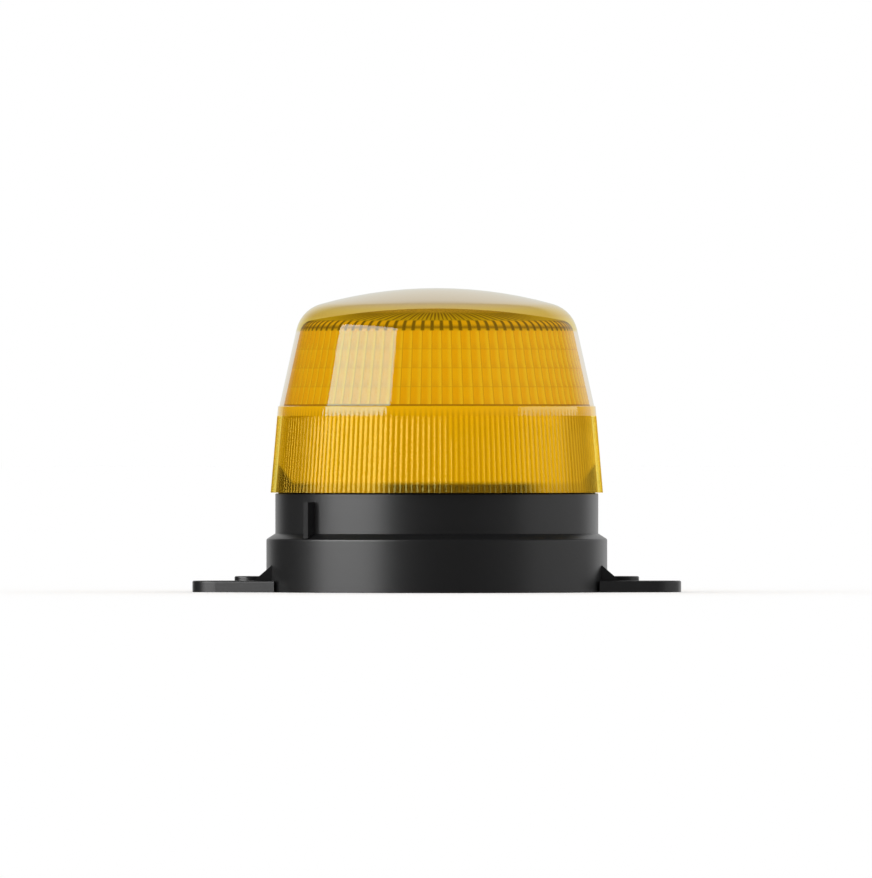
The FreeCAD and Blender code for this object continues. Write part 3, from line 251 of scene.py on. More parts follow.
outside = profile_object("outside_profile", outside_profile())
inner_dome = dome(
    SHELL, LENS_TOP - CROWN_WALL, INNER_CROWN_ROUND, INNER_SHOULDER_ROUND, STEPS,
)
inside = profile_object("inside_profile", inside_profile(inner_dome))
SHOULDER_FOOT = inner_dome[0][1]
print("profiles of %d and %d points" % (len(outside.data.vertices), len(inside.data.vertices)))

# %% [markdown]
# ## Turning a profile with Geometry Nodes
# A flat grid has one column of points for each angle and one row for each point of the profile.
# Set Position then wraps it round the axis. A rib is the crest between two narrow grooves, each
# pillow is a parabola between two creases, and each flute is a ridge that hangs down. Merging the
# doubles closes the seam and the pole.

# %% The tree that turns a profile


def new_tree(name, sizes):
    """A Geometry Nodes tree with named inputs for its sizes and one geometry output."""
    tree = bpy.data.node_groups.new(name, "GeometryNodeTree")
    for label, kind in sizes:
        tree.interface.new_socket(label, in_out="INPUT", socket_type=kind)
    tree.interface.new_socket("Geometry", in_out="OUTPUT", socket_type="NodeSocketGeometry")
    return tree, tree.nodes.new("NodeGroupInput").outputs


def turned_skin():
    """The tree that turns a profile about the axis and adds the three patterns to it."""
    tree, given = new_tree("turned skin", [
        ("Profile", "NodeSocketObject"), ("Points", "NodeSocketInt"),
        ("Around", "NodeSocketInt"), ("Ribs", "NodeSocketInt"), ("Rib Depth", "NodeSocketFloat"),
        ("Columns", "NodeSocketInt"), ("Pillow Depth", "NodeSocketFloat"),
        ("Flute Depth", "NodeSocketFloat"), ("Material", "NodeSocketMaterial"),
    ])
    # The grid, and the angle and the row of the profile that each of its points stands for.
    grid = add(tree, "GeometryNodeMeshGrid", {
        "Size X": 1.0, "Size Y": 1.0, "Vertices Y": given["Points"],
        "Vertices X": add(tree, MATH, {0: given["Around"], 1: 1.0}, operation="ADD"),
    })
    spot = add(tree, "ShaderNodeSeparateXYZ", {0: add(tree, "GeometryNodeInputPosition")})
    turn = add(tree, MATH, {0: spot.outputs["X"], 1: 0.5}, operation="ADD")
    angle = add(tree, MATH, {0: turn, 1: 2 * math.pi}, operation="MULTIPLY")
    share = add(tree, MATH, {0: spot.outputs["Y"], 1: 0.5}, operation="ADD")
    last = add(tree, MATH, {0: given["Points"], 1: 1.0}, operation="SUBTRACT")
    row = add(tree, MATH, {0: share, 1: last}, operation="MULTIPLY")
    row = add(tree, MATH, {0: row}, operation="ROUND")

    # The profile's point in that row, and its weights.
    chain = add(tree, "GeometryNodeObjectInfo", {"Object": given["Profile"]})
    at = add(tree, "ShaderNodeSeparateXYZ", {0: add(tree, "GeometryNodeSampleIndex", {
        "Geometry": chain.outputs["Geometry"], "Index": row,
        "Value": add(tree, "GeometryNodeInputPosition"),
    }, data_type="FLOAT_VECTOR")})
    weights = {}
    for pattern in PATTERNS:
        named = add(tree, "GeometryNodeInputNamedAttribute", {"Name": pattern}, data_type="FLOAT")
        weights[pattern] = add(tree, "GeometryNodeSampleIndex", {
            "Geometry": chain.outputs["Geometry"], "Index": row, "Value": named,
        })

    # Ribs have one wave each, which a power squeezes into a wide crest and a narrow groove.
    phase = add(tree, MATH, {0: angle, 1: given["Ribs"]}, operation="MULTIPLY")
    wave = add(tree, MATH, {0: phase}, operation="COSINE")
    groove = add(tree, "ShaderNodeMapRange", {
        "Value": wave, "From Min": 1.0, "From Max": -1.0,
    })
    groove = add(tree, MATH, {0: groove, 1: GROOVE_SHARPNESS}, operation="POWER")
    groove = add(tree, MATH, {0: groove, 1: given["Rib Depth"]}, operation="MULTIPLY")
    groove = add(tree, MATH, {0: groove, 1: weights["rib"]}, operation="MULTIPLY")

    # Pillows and flutes go by how far a point is from the middle of its own column.
    columns = add(tree, MATH, {0: turn, 1: given["Columns"]}, operation="MULTIPLY")
    column = add(tree, MATH, {0: columns}, operation="FRACT")
    side = add(tree, "ShaderNodeMapRange", {"Value": column, "To Min": -1.0, "To Max": 1.0})
    side = add(tree, MATH, {0: side}, operation="ABSOLUTE")
    square = add(tree, MATH, {0: side, 1: 2.0}, operation="POWER")
    hump = add(tree, MATH, {0: 1.0, 1: square}, operation="SUBTRACT")
    hump = add(tree, MATH, {0: hump, 1: given["Pillow Depth"]}, operation="MULTIPLY")
    hump = add(tree, MATH, {0: hump, 1: weights["pillow"]}, operation="MULTIPLY")
    ridge = add(tree, MATH, {0: 1.0, 1: side}, operation="SUBTRACT")
    ridge = add(tree, MATH, {0: ridge, 1: given["Flute Depth"]}, operation="MULTIPLY")
    ridge = add(tree, MATH, {0: ridge, 1: weights["flute"]}, operation="MULTIPLY")

    # The patterns change the radius and the height, and the angle wraps them round the axis.
    radius = add(tree, MATH, {0: at.outputs["X"], 1: groove}, operation="SUBTRACT")
    radius = add(tree, MATH, {0: radius, 1: hump}, operation="SUBTRACT")
    radius = add(tree, MATH, {0: radius, 1: 0.0}, operation="MAXIMUM")
    cosine = add(tree, MATH, {0: angle}, operation="COSINE")
    sine = add(tree, MATH, {0: angle}, operation="SINE")
    wrapped = add(tree, "GeometryNodeSetPosition", {
        "Geometry": grid, "Position": add(tree, "ShaderNodeCombineXYZ", {
            0: add(tree, MATH, {0: radius, 1: cosine}, operation="MULTIPLY"),
            1: add(tree, MATH, {0: radius, 1: sine}, operation="MULTIPLY"),
            2: add(tree, MATH, {0: at.outputs["Z"], 1: ridge}, operation="SUBTRACT"),
        }),
    })
    closed = add(tree, "GeometryNodeMergeByDistance", {"Geometry": wrapped, "Distance": MERGE})
    painted = add(tree, "GeometryNodeSetMaterial", {
        "Geometry": closed, "Material": given["Material"],
    })
    solid = add(tree, "GeometryNodeRealizeInstances", {"Geometry": painted})
    add(tree, "NodeGroupOutput", {0: solid})
    return tree


skin_tree = turned_skin()
print("tree of %d nodes" % len(skin_tree.nodes))

# %% [markdown]
# A tree does nothing until an object carries it. This helper gives a tree to an empty mesh, sets
# each input by its identifier, and reads the finished mesh back, so that what is left is a plain
# mesh without a modifier.

# %% From a tree to a plain mesh


def grown(name, tree, **sizes):
    """The mesh that a tree makes with these inputs, named by their labels."""
    holder = bpy.data.objects.new(name + "_holder", bpy.data.meshes.new(name + "_holder"))
    bpy.context.scene.collection.objects.link(holder)
    modifier = holder.modifiers.new("nodes", "NODES")
    modifier.node_group = tree
    for item in tree.interface.items_tree:
        label = item.name.replace(" ", "_").lower()
        if item.in_out == "INPUT" and label in sizes:
            modifier[item.identifier] = sizes[label]
    bpy.context.view_layer.update()
    graph = bpy.context.evaluated_depsgraph_get()
    mesh = bpy.data.meshes.new_from_object(holder.evaluated_get(graph))
    bpy.data.objects.remove(holder)
    mesh.name = name
    return mesh


# %% [markdown]
# ## Finishes
# Every finish starts from what the real piece is made of and how its surface was made. The black
# housing is moulded ABS with a spark-eroded grain, which spreads its highlights. One function
# makes all of these finishes, because they differ only in colour, gloss and the size of the grain.
# The real grain is mostly finer than a pixel of the picture, so it is drawn at a few tenths of a
# millimetre, where it just shows.

# %% Black ABS and the other plain finishes
ROUGHNESS_DRIFT = 0.06
CLOUD = 40


def new_material(name):
    """An empty material, with the tree that its nodes go into."""
    material = bpy.data.materials.new(name)
    material.use_nodes = True
    material.node_tree.nodes.clear()
    return material, material.node_tree


def grained(name, colour, shade, roughness, grain_mm, bump_mm, metallic=0.0, ior=1.5):
    """A material with a fine grain, which its bump and roughness follow. Its colour drifts a
    little towards a shade, in clouds as wide as many grains."""
    material, tree = new_material(name)
    where = add(tree, "ShaderNodeTexCoord").outputs["Object"]
    fine = add(tree, "ShaderNodeTexNoise", {
        "Vector": where, "Scale": 1 / (grain_mm * MM), "Detail": 3.0, "Roughness": 0.6,
    })
    broad = add(tree, "ShaderNodeTexNoise", {
        "Vector": where, "Scale": 1 / (grain_mm * CLOUD * MM), "Detail": 2.0,
    })
    tint = add(tree, "ShaderNodeMix", {
        0: broad, 6: linear(colour), 7: linear(shade),
    }, data_type="RGBA")
    rough = add(tree, "ShaderNodeMapRange", {
        "Value": fine, "To Min": roughness - ROUGHNESS_DRIFT, "To Max": roughness + ROUGHNESS_DRIFT,
    })
    bump = add(tree, "ShaderNodeBump", {"Height": fine, "Distance": bump_mm * MM, "Strength": 1.0})
    shader = add(tree, "ShaderNodeBsdfPrincipled", {
        "Base Color": tint.outputs[2], "Roughness": rough, "Metallic": metallic, "IOR": ior,
        "Normal": bump,
    })
    add(tree, "ShaderNodeOutputMaterial", {"Surface": shader})
    return material


# Each has its name, its colour and shade, its roughness, the width of its grain and the height
# of its bump in mm, and 1.0 if it is a metal.
FINISHES = {
    # A spark-eroded mould leaves a satin gloss, which draws soft highlights.
    "black_abs": grained("moulded black ABS", "#141415", "#171718", 0.33, 0.35, 0.01, ior=1.7),
    # Rubber spreads nearly all its light, and the cells of foam leave small pits.
    "nitrile_rubber": grained("nitrile rubber", "#191918", "#1f1f1e", 0.7, 0.3, 0.02),
    "foam_rubber": grained("closed cell foam rubber", "#242423", "#1b1b1a", 0.9, 0.6, 0.12),
    # Nylon is duller than ABS.
    "black_nylon": grained("moulded black nylon", "#1b1b1c", "#202022", 0.5, 0.3, 0.01),
    # Zinc plate is a bright metal with a nearly even shine.
    "zinc_steel": grained("bright zinc plated steel", "#c4c5c3", "#b4b5b0", 0.28, 0.4, 0.004, 1.0),
    # Ferrite is a dark, dry ceramic, and enamelled copper keeps its shine.
    "ferrite": grained("pressed ferrite", "#4a4a4c", "#3c3c3e", 0.6, 0.2, 0.02),
    "copper_wire": grained("enamelled copper wire", "#b86a35", "#a05a2c", 0.3, 0.15, 0.02, 1.0),
    # Formed film is smooth, and an extrusion has a silky shine.
    "polyester_film": grained("formed polyester film", "#9c9078", "#8d826c", 0.35, 0.5, 0.006),
    "aluminium": grained("extruded aluminium", "#c9cacb", "#bcbdbf", 0.38, 0.25, 0.008, 1.0),
    # Solder mask is an even varnish over a board.
    "green_board": grained("green solder mask", "#1c6a3c", "#175c34", 0.35, 0.6, 0.01),
    "white_board": grained("white solder mask", "#e9e9e4", "#dfdfd9", 0.35, 0.6, 0.008),
    # What sits on the boards is cast, shrunk or moulded, from glossy to dull.
    "led_phosphor": grained("silicone over LED phosphor", "#e5c63c", "#d9b62a", 0.25, 0.2, 0.01),
    "capacitor_sleeve": grained("shrunk PVC sleeve", "#1b2334", "#161d2c", 0.3, 0.8, 0.01),
    "chip_epoxy": grained("moulded epoxy", "#242427", "#1d1d20", 0.55, 0.15, 0.01),
    # Terminals, switches and plugs have colours of their own and a soft shine.
    "terminal_green": grained("moulded green polyamide", "#2f8f4c", "#278042", 0.42, 0.3, 0.01),
    "switch_blue": grained("moulded blue polyester", "#2455a8", "#1e4b98", 0.4, 0.3, 0.008),
    "white_nylon": grained("moulded white nylon", "#e6e4dc", "#dbd8ce", 0.42, 0.3, 0.008),
}
print("%d finishes" % len(FINISHES))

# %% [markdown]
# ## Amber polycarbonate
# The outside of the lens is polished and clear, so what shows there is gloss: it mirrors the lamps
# more the flatter one looks along it, as Fresnel's law says, and lets the eye through elsewhere.
# Light that leaves the plastic isn't mirrored here, because this film stands for the whole wall,
# so the law is used on front faces only. Below the plain band the outside is cut into ribs, and
# those bend the light so much that the plastic itself shows, in a thin amber haze.

# %% The outside, polished and ribbed
POLYCARBONATE_IOR = 1.585
FACE_ON, EDGE_ON = 0.07, 0.25


def height_reading(tree):
    """The height of a point of the lens."""
    where = add(tree, "ShaderNodeTexCoord").outputs["Object"]
    return add(tree, "ShaderNodeSeparateXYZ", {0: where}).outputs["Z"]


def flatness_reading(tree):
    """How flat the eye looks along the skirt, from 0 face on to 1 at its outline. The way outwards
    from the axis stands in for the normal, so that the flanks of the ribs don't count."""
    where = add(tree, "ShaderNodeTexCoord").outputs["Object"]
    level = add(tree, "ShaderNodeVectorMath", {0: where, 1: (1.0, 1.0, 0.0)}, operation="MULTIPLY")
    turned = add(tree, "ShaderNodeVectorTransform", {
        0: level,
    }, vector_type="VECTOR", convert_from="OBJECT", convert_to="WORLD")
    outward = add(tree, "ShaderNodeVectorMath", {0: turned}, operation="NORMALIZE")
    weight = add(tree, "ShaderNodeLayerWeight", {"Blend": 0.5, "Normal": outward})
    return weight.outputs["Facing"]


def outside_finish(name, reading, stops, mirror, roughness, haze=None):
    """A film over the plastic. Each stop is a reading and the colour that the plastic lets through
    there. mirror is the tint of the gloss face on, its tint elsewhere, and the readings between
    which the first gives way to the second. haze is the plastic's own colour and its share."""
    material, tree = new_material(name)
    face_on, elsewhere, first, last = mirror
    highest = stops[-1][0]
    edge = add(tree, "ShaderNodeFresnel", {"IOR": POLYCARBONATE_IOR})
    front = add(tree, MATH, {
        0: 1.0, 1: add(tree, "ShaderNodeNewGeometry").outputs["Backfacing"],
    }, operation="SUBTRACT")
    mirrored = add(tree, MATH, {0: edge, 1: front}, operation="MULTIPLY")

    share = add(tree, "ShaderNodeMapRange", {"Value": reading(tree), "From Max": highest})
    tint = add(tree, "ShaderNodeValToRGB", {0: share})
    ramp = tint.color_ramp
    for _ in stops[2:]:
        ramp.elements.new(1.0)
    for stop, (place, colour) in zip(ramp.elements, stops):
        stop.position = place / highest
        stop.color = linear(colour)
    plastic = add(tree, "ShaderNodeBsdfTransparent", {"Color": tint})
    if haze:
        plastic = add(tree, "ShaderNodeMixShader", {
            0: haze[1], 1: plastic,
            2: add(tree, "ShaderNodeBsdfDiffuse", {"Color": linear(haze[0])}),
        })

    grazing = add(tree, "ShaderNodeMapRange", {
        "Value": edge, "From Min": FACE_ON, "From Max": EDGE_ON,
    })
    beyond = add(tree, "ShaderNodeMapRange", {
        "Value": share, "From Min": first / highest, "From Max": last / highest,
    })
    mirror_tint = add(tree, "ShaderNodeMix", {
        0: add(tree, MATH, {0: grazing, 1: beyond}, operation="MAXIMUM"),
        6: linear(face_on), 7: linear(elsewhere),
    }, data_type="RGBA")
    gloss = add(tree, "ShaderNodeBsdfAnisotropic", {
        "Color": mirror_tint.outputs[2], "Roughness": roughness,
    })
    shader = add(tree, "ShaderNodeMixShader", {0: mirrored, 1: plastic, 2: gloss})
    add(tree, "ShaderNodeOutputMaterial", {"Surface": shader})
    return material


# The stops follow the band, the cone, the shoulder and the crown.
polished = outside_finish(
    "polished amber polycarbonate", height_reading, [
        (BAND_TOP - 0.1 * MM, "#f8de84"), (BAND_TOP + 0.3 * MM, "#f3ebdf"),
        (SHOULDER_FOOT - 0.5 * MM, "#f3ebdf"), (SHOULDER_FOOT + 0.5 * MM, "#eedf94"),
        (SHOULDER_FOOT + 3.5 * MM, "#ecdc90"), (SHOULDER_FOOT + 5.3 * MM, "#e6d28c"),
        (LENS_TOP - 8.0 * MM, "#e7d696"), (LENS_TOP - 6.0 * MM, "#e5d6b0"),
        (LENS_TOP - 4.6 * MM, "#e3d8c4"),
    ],
    ("#98f0f4", "#f4f7f2", SHOULDER_FOOT - 0.5 * MM, SHOULDER_FOOT + 0.5 * MM), 0.03,
)
# The stops go round the skirt, from its front to its outline. The darker tint at the flanks is
# painted shade, for the dark studio that the ribs bend into view.
ribbed = outside_finish(
    "ribbed amber polycarbonate", flatness_reading,
    [(0.33, "#fdf296"), (0.45, "#c8be74"), (0.60, "#c8be74"), (0.76, "#fffac0")],
    ("#d8d488", "#f4cc50", 0.33, 0.45), 0.06, haze=("#e6ac10", 0.14),
)
print("%s, and %s" % (polished.name, ribbed.name))

# %% [markdown]
# The optics inside are what gives the lens its colour. Every pillow bends the light, and that is
# painted into the colour: bright amber, with painted shade in lines at the creases and between the
# rows and at the lower end of each pillow, and a painted highlight along one edge of each column.
# Over the shoulder the flutes are painted in light and shade, as a row of dark teeth with darker
# feet, a zigzag line above it and a paler arch. Painted shade also marks the step above the band,
# and lines of it, one for each rib, fade out up the band. The middle of the crown is a window
# through which the LEDs show. The lines are placed by the angle round the axis and by the height,
# which the object's own coordinates give, so they stay on the pillows when the lens turns. Each
# step mixes the colour so far with the next one.

# %% The optics inside
ROW_HEIGHT = (SHOULDER_FOOT - BAND_TOP) / ROWS
LINE = 0.25 * MM
TOOTH_EDGE = (0.22, 0.40)
TOOTH_FOOT = SHOULDER_FOOT + 1.1 * MM
TOOTH_FOOT_REACH = 1.4 * MM
TOOTH_TOP = SHOULDER_FOOT + 3.5 * MM
ZIGZAG_TOP = SHOULDER_FOOT + 6.6 * MM
ZIGZAG_WIDTHS = (0.05, 0.20)
ZIGZAG_EDGE = 0.06
CROWN_FADE = 5 * MM
WINDOW_FADE = 2 * MM
WINDOW_SHARE = 0.6


def round_the_axis(tree, count):
    """For a skin of that many columns: where the point is, how many columns it is round the axis,
    how far across its own column it is, from 0 to 1, and how far from that column's middle."""
    place = add(tree, "ShaderNodeTexCoord").outputs["Object"]
    where = add(tree, "ShaderNodeSeparateXYZ", {0: place}).outputs
    angle = add(tree, MATH, {0: where["Y"], 1: where["X"]}, operation="ARCTAN2")
    turn = add(tree, MATH, {0: angle, 1: count / (2 * math.pi)}, operation="MULTIPLY")
    across = add(tree, MATH, {0: turn}, operation="FRACT")
    side = add(tree, MATH, {0: across, 1: 0.5}, operation="SUBTRACT")
    return where, turn, across, add(tree, MATH, {0: side}, operation="ABSOLUTE")


def optics():
    """The inner skin of the cone, the shoulder and the crown."""
    material, tree = new_material("amber polycarbonate optics")
    where, turn, column, side = round_the_axis(tree, COLUMNS)
    height = where["Z"]
    radius = add(tree, "ShaderNodeVectorMath", {
        0: add(tree, "ShaderNodeCombineXYZ", {0: where["X"], 1: where["Y"]}),
    }, operation="LENGTH").outputs["Value"]
    rows = add(tree, "ShaderNodeMapRange", {
        "Value": height, "From Min": BAND_TOP, "From Max": BAND_TOP + ROW_HEIGHT,
    }, clamp=False)
    row = add(tree, MATH, {0: rows}, operation="FRACT")
    each = add(tree, "ShaderNodeTexWhiteNoise", {0: add(tree, "ShaderNodeCombineXYZ", {
        0: add(tree, MATH, {0: turn}, operation="FLOOR"),
        1: add(tree, MATH, {0: rows}, operation="FLOOR"),
    })}).outputs["Value"]

    # Painted light and shade on the flutes: bright amber in the middle of each, dark olive at its
    # sides.
    lit_and_shaded_teeth = add(tree, "ShaderNodeMix", {
        0: add(tree, "ShaderNodeMapRange", {
            "Value": side, "From Min": TOOTH_EDGE[0], "From Max": TOOTH_EDGE[1],
        }, interpolation_type="SMOOTHSTEP"),
        6: linear("#ffd80c"), 7: linear("#8c7a02"),
    }, data_type="RGBA").outputs[2]
    # Painted shade, darkest round the feet of the teeth.
    feet = add(tree, MATH, {0: height, 1: TOOTH_FOOT}, operation="SUBTRACT")
    feet = add(tree, "ShaderNodeMapRange", {
        "Value": add(tree, MATH, {0: feet}, operation="ABSOLUTE"), "From Max": TOOTH_FOOT_REACH,
    })

    # The zigzag above the teeth is painted light and shade.
    # Half a column is as wide as a rib, so this goes up and down once for each rib.
    half = add(tree, MATH, {0: side, 1: 0.25}, operation="SUBTRACT")
    half = add(tree, MATH, {0: half}, operation="ABSOLUTE")
    zigzag_width = add(tree, "ShaderNodeMapRange", {
        "Value": height, "From Min": TOOTH_TOP, "From Max": ZIGZAG_TOP,
        "To Min": ZIGZAG_WIDTHS[0], "To Max": ZIGZAG_WIDTHS[1],
    })
    zigzag = add(tree, "ShaderNodeMix", {
        0: add(tree, "ShaderNodeMapRange", {
            "Value": add(tree, MATH, {0: half, 1: zigzag_width}, operation="SUBTRACT"),
            "From Min": -ZIGZAG_EDGE, "From Max": ZIGZAG_EDGE,
        }, interpolation_type="SMOOTHSTEP"),
        6: linear("#9c840a"), 7: linear("#dcc812"),
    }, data_type="RGBA").outputs[2]
    # Lines of painted shade, one for each rib, that fade out up the band.
    fading = add(tree, MATH, {
        0: add(tree, "ShaderNodeMapRange", {
            "Value": height, "From Min": BAND_TOP, "From Max": RIB_TOP,
        }),
        1: add(tree, MATH, {0: half, 1: 4.0}, operation="MULTIPLY"),
    }, operation="MULTIPLY")

    # What a step is for, what it reads, where it starts and is complete, and its colour.
    # Of these steps the lower ends, the creases, the row lines, the tooth feet, the step and the
    # ribs that fade over the band are painted shade, the lit edges a painted highlight, the shoulder
    # and the zigzag painted light and shade, and the arch a paler painted light.
    steps = [
        ("pillows differ", each, -1.2, 2.4, "#f8b600"),
        ("painted shade at lower ends", row, 0.6, 0.0, "#f2b80c"),
        ("painted highlight at lit edges", column, 0.45, 0.9, "#ffd41c"),
        ("creases", side, 0.41, 0.5, "#e2ac0a"),
        ("painted shade at row lines", row, 0.06, 0.0, "#e6ae0c"),
        ("shoulder", height, SHOULDER_FOOT - LINE, SHOULDER_FOOT + LINE, lit_and_shaded_teeth),
        ("painted shade at tooth feet", feet, 1.0, -0.4, "#867002"),
        ("zigzag", height, TOOTH_TOP - LINE, TOOTH_TOP + LINE, zigzag),
        ("arch", height, ZIGZAG_TOP - 2 * LINE, ZIGZAG_TOP + 2 * LINE, "#d0b81c"),
        ("crown", radius, FLUTE_END + CROWN_FADE, FLUTE_END, "#c8ac30"),
        ("step", height, BAND_TOP + 3 * LINE, BAND_TOP + 2 * LINE, "#b08206"),
        ("band", height, BAND_TOP + LINE, BAND_TOP - LINE, "#fae206"),
        ("ribs that fade over the band", fading, 0.0, 1.0, "#dcc404"),
    ]
    colour = linear("#ffca0a")
    for label, value, start, end, shade in steps:
        reach = add(tree, "ShaderNodeMapRange", {
            "Value": value, "From Min": start, "From Max": end,
        }, interpolation_type="SMOOTHSTEP", label=label)
        colour = add(tree, "ShaderNodeMix", {
            0: reach, 6: colour, 7: linear(shade) if isinstance(shade, str) else shade,
        }, data_type="RGBA").outputs[2]
    shader = add(tree, "ShaderNodeBsdfPrincipled", {
        "Base Color": colour, "Roughness": 0.5, "IOR": POLYCARBONATE_IOR, "Specular IOR Level": 0.0,
    })
    window = add(tree, "ShaderNodeMapRange", {
        "Value": radius, "From Min": FLUTE_END + WINDOW_FADE, "From Max": FLUTE_END - WINDOW_FADE,
        "To Max": WINDOW_SHARE,
    }, interpolation_type="SMOOTHSTEP")
    shader = add(tree, "ShaderNodeMixShader", {
        0: window, 1: shader,
        2: add(tree, "ShaderNodeBsdfTransparent", {"Color": linear("#fff0a0")}),
    })
    add(tree, "ShaderNodeOutputMaterial", {"Surface": shader})
    return material


cone_optics = optics()
print("%s, of %d nodes" % (cone_optics.name, len(cone_optics.node_tree.nodes)))

# %% [markdown]
# Behind the ribs the inside is plain amber, with a painted shade behind the crest of each rib for
# the way the ribs bend the light. The black collar of the housing stands inside the rim, and its
# image, which the ribs break into short teeth, is painted here as dark shade. The picture shows it
# paler in places, so four gaps are drawn round the rim, and the painted shade reaches higher at
# the two sides, where the eye looks along the wall.

# %% What shows through the ribs
RIBBED_IOR = 1.3
STRIPE_EDGE = (0.12, 0.42)
COLLAR_TOP = LENS_BOTTOM + 3.4 * MM
COLLAR_BLUR = 1 * MM
GAPS = 4
GAP_ANGLE = math.radians(-36)
GAP_EDGE = (-0.7, -0.1)
GAP_SHARE = 0.3
SIDES = 2
SIDE_EDGE = (0.6, 1.0)
SIDE_RISE = 7 * MM


def ribbed_inside():
    """The inner skin of the skirt."""
    material, tree = new_material("amber polycarbonate behind the ribs")
    where, turn, _, side = round_the_axis(tree, RIBS)
    line = add(tree, "ShaderNodeMapRange", {
        "Value": side, "From Min": STRIPE_EDGE[0], "From Max": STRIPE_EDGE[1],
    }, interpolation_type="SMOOTHSTEP")
    # Painted shade, darker behind the crest of each rib.
    painted_rib_shade = add(tree, "ShaderNodeMix", {
        0: line, 6: linear("#ffd60a"), 7: linear("#dab00a"),
    }, data_type="RGBA").outputs[2]
    # The collar's dark image, painted as shade and broken into teeth by the same lines.
    painted_collar_shade = add(tree, "ShaderNodeMix", {
        0: line, 6: linear("#1e1804"), 7: linear("#4a3a06"),
    }, data_type="RGBA").outputs[2]

    gap_start = math.pi - GAPS * GAP_ANGLE
    gaps = add(tree, "ShaderNodeMapRange", {
        "Value": turn, "From Max": RIBS / GAPS,
        "To Min": gap_start, "To Max": gap_start + 2 * math.pi,
    }, clamp=False)
    collar = add(tree, "ShaderNodeMapRange", {
        "Value": add(tree, MATH, {0: gaps}, operation="COSINE"),
        "From Min": GAP_EDGE[0], "From Max": GAP_EDGE[1], "To Min": GAP_SHARE,
    })
    # The painted shade rises at the two sides, where the eye looks along the wall.
    sides = add(tree, MATH, {0: turn, 1: SIDES * 2 * math.pi / RIBS}, operation="MULTIPLY")
    rise = add(tree, "ShaderNodeMapRange", {
        "Value": add(tree, MATH, {0: sides}, operation="COSINE"),
        "From Min": SIDE_EDGE[0], "From Max": SIDE_EDGE[1], "To Max": SIDE_RISE,
    })
    foot = add(tree, "ShaderNodeMapRange", {
        "Value": add(tree, MATH, {0: where["Z"], 1: rise}, operation="SUBTRACT"),
        "From Min": COLLAR_TOP + COLLAR_BLUR, "From Max": COLLAR_TOP - COLLAR_BLUR,
        "To Max": collar,
    }, interpolation_type="SMOOTHSTEP")
    colour = add(tree, "ShaderNodeMix", {0: foot, 6: painted_rib_shade, 7: painted_collar_shade}, data_type="RGBA")
    shader = add(tree, "ShaderNodeMixShader", {
        0: add(tree, "ShaderNodeFresnel", {"IOR": 1 / RIBBED_IOR}),
        1: add(tree, "ShaderNodeBsdfDiffuse", {"Color": colour.outputs[2]}),
        2: add(tree, "ShaderNodeBsdfAnisotropic", {"Color": linear("#f2dc90"), "Roughness": 0.2}),
    })
    add(tree, "ShaderNodeOutputMaterial", {"Surface": shader})
    return material


skirt_inside = ribbed_inside()
LENS_FINISHES = (polished, ribbed, cone_optics, skirt_inside)
print("%d finishes on the lens" % len(LENS_FINISHES))

# %% [markdown]
# Now both skins are grown, joined at the rim and smoothed. Creases between pillows stay sharp,
# because an edge that bends by more than a set angle keeps its own normals. The faces below the
# plain band get the finishes of the ribs.

# %% The lens
POINTS_PER_RIB = 8
SHARP = math.radians(24)


def make_lens():
    """One closed mesh of both skins, with the finishes in the order of LENS_FINISHES."""
    whole = bmesh.new()
    for index, chain in enumerate((outside, inside)):
        skin = grown(
            "lens skin", skin_tree, profile=chain, points=len(chain.data.vertices),
            around=RIBS * POINTS_PER_RIB, ribs=RIBS, rib_depth=RIB_DEPTH, columns=COLUMNS,
            pillow_depth=PILLOW_DEPTH, flute_depth=FLUTE_DEPTH, material=LENS_FINISHES[2 * index],
        )
        before = len(whole.faces)
        whole.from_mesh(skin)
        whole.faces.ensure_lookup_table()
        for face in whole.faces[before:]:
            face.material_index = 2 * index + (face.calc_center_median().z < RIB_TOP)
            face.smooth = True
    bmesh.ops.remove_doubles(whole, verts=whole.verts, dist=MERGE)
    bmesh.ops.recalc_face_normals(whole, faces=whole.faces)
    for edge in whole.edges:
        if len(edge.link_faces) == 2 and edge.calc_face_angle(0.0) > SHARP:
            edge.smooth = False
    mesh = bpy.data.meshes.new("amber_lens")
    whole.to_mesh(mesh)
    whole.free()
    for finish in LENS_FINISHES:
        mesh.materials.append(finish)
    return mesh


lens = bpy.data.objects.new("amber_lens", make_lens())
bpy.context.scene.collection.objects.link(lens)
for chain in (outside, inside):
    bpy.data.objects.remove(chain)
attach(lens, "lens")
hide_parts("lens_dome")
print("lens of %d faces" % len(lens.data.polygons))

# %% [markdown]
# ## Dressing the frame
# The other pieces keep the shape that the frame gives them, and the record says which finish each
# of them has.

# %% Finishes on the frame's pieces
dressed = [part for part in frame["record"]["subparts"] if part["material_slot"] in FINISHES]
for part in dressed:
    data = frame["nodes"][part["node"]].data
    data.materials.clear()
    data.materials.append(FINISHES[part["material_slot"]])
print("%d pieces dressed" % len(dressed))

# %% [markdown]
# ## The studio
# The floor and everything behind the object are white. In front of it the studio is dark, apart
# from a wide soft lamp at the left and a low strip of light at the right, which draw the
# highlights. The white wall behind ends a little above the object, and that end draws the arch on
# the crown of the lens. Only mirrored rays see this room: what lights the object is plain white.
# The floor is clear from below, so that the underside can be looked at.

# %% Floor, world and lamps
WHITE = (1.0, 1.0, 1.0, 1.0)
FLOOR_REACH = 40.0
FLOOR_DROP = 0.02 * MM
ROOM_DARK, ROOM_RIGHT = 0.06, 0.18
RIGHT_EDGE = (0.35, 0.9)
WALL_WHITE = 0.85
WALL_WAY = (0.17, 0.985, 0.0)
WALL_EDGE = (0.64, 0.95)
WALL_TOP = (0.62, 0.48)


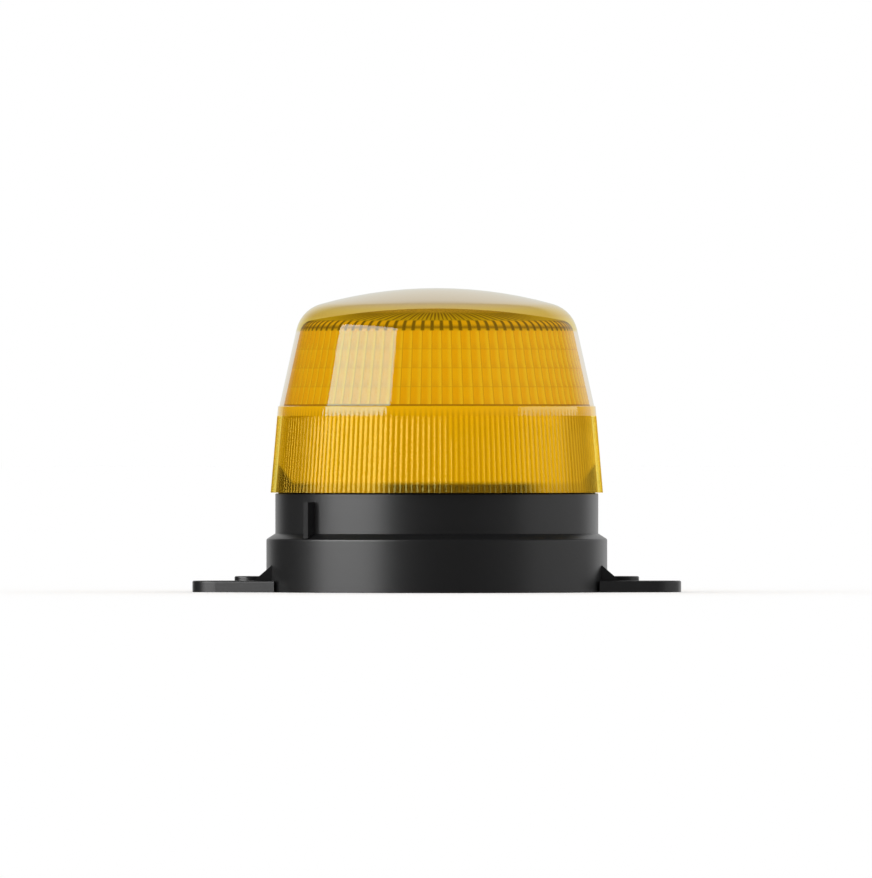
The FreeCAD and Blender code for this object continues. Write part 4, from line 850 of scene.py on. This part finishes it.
def make_floor():
    """White paper a hair below the object, which shows only from above."""
    signs = ((-1, -1), (1, -1), (1, 1), (-1, 1))
    mesh = bpy.data.meshes.new("floor")
    mesh.from_pydata(
        [(x * FLOOR_REACH, y * FLOOR_REACH, -FLOOR_DROP) for x, y in signs], [], [(0, 1, 2, 3)],
    )
    material, tree = new_material("white paper floor")
    paper = add(tree, "ShaderNodeMixShader", {
        0: add(tree, "ShaderNodeNewGeometry").outputs["Backfacing"],
        1: add(tree, "ShaderNodeBsdfDiffuse", {"Color": WHITE}),
        2: add(tree, "ShaderNodeBsdfTransparent"),
    })
    add(tree, "ShaderNodeOutputMaterial", {"Surface": paper})
    mesh.materials.append(material)
    floor = bpy.data.objects.new("floor", mesh)
    bpy.context.scene.collection.objects.link(floor)
    floor.visible_glossy = False


def make_world():
    """White for all but mirrored rays, which see the room."""
    world = bpy.data.worlds.new("studio")
    bpy.context.scene.world = world
    world.use_nodes = True
    tree = world.node_tree
    tree.nodes.clear()
    way = add(tree, "ShaderNodeTexCoord").outputs["Generated"]
    parts = add(tree, "ShaderNodeSeparateXYZ", {0: way}).outputs
    behind = add(tree, "ShaderNodeVectorMath", {0: way, 1: WALL_WAY}, operation="DOT_PRODUCT")
    wall = add(tree, "ShaderNodeMapRange", {
        "Value": behind.outputs["Value"], "From Min": WALL_EDGE[0], "From Max": WALL_EDGE[1],
    }, interpolation_type="SMOOTHSTEP")
    top = add(tree, "ShaderNodeMapRange", {
        "Value": parts["Z"], "From Min": WALL_TOP[0], "From Max": WALL_TOP[1],
    }, interpolation_type="SMOOTHSTEP")
    room = add(tree, "ShaderNodeMapRange", {
        "Value": parts["X"], "From Min": RIGHT_EDGE[0], "From Max": RIGHT_EDGE[1],
        "To Min": ROOM_DARK, "To Max": ROOM_RIGHT,
    })
    mirrored = add(tree, "ShaderNodeMapRange", {
        "Value": add(tree, MATH, {0: wall, 1: top}, operation="MULTIPLY"),
        "To Min": room, "To Max": WALL_WHITE,
    })
    path = add(tree, "ShaderNodeLightPath")
    strength = add(tree, "ShaderNodeMix", {
        0: path.outputs["Is Glossy Ray"], 2: 1.0, 3: mirrored,
    })
    background = add(tree, "ShaderNodeBackground", {"Color": WHITE, "Strength": strength})
    add(tree, "ShaderNodeOutputWorld", {"Surface": background})


def softbox(name, azimuth, elevation, away, width, height, radiance):
    """A rectangular lamp that faces the object. Its azimuth is 0 at the camera, and positive to
    the right of it. Only gloss shows it."""
    data = bpy.data.lights.new(name, "AREA")
    data.shape = "RECTANGLE"
    data.size, data.size_y = width, height
    data.energy = radiance * width * height * math.pi
    lamp = bpy.data.objects.new(name, data)
    bpy.context.scene.collection.objects.link(lamp)
    turn, tilt = math.radians(azimuth), math.radians(elevation)
    lamp.location = (
        away * math.cos(tilt) * math.sin(turn),
        -away * math.cos(tilt) * math.cos(turn),
        away * math.sin(tilt) + LENS_TOP / 2,
    )
    lamp.rotation_euler = (math.pi / 2 - tilt, 0, turn)
    lamp.visible_diffuse = False
    lamp.visible_camera = False


make_floor()
make_world()
softbox("left softbox", azimuth=-63, elevation=17, away=2.0, width=1.9, height=1.15, radiance=5.3)
softbox("right strip", azimuth=92, elevation=6.5, away=2.0, width=2.3, height=0.22, radiance=1.8)
print("the studio is set")
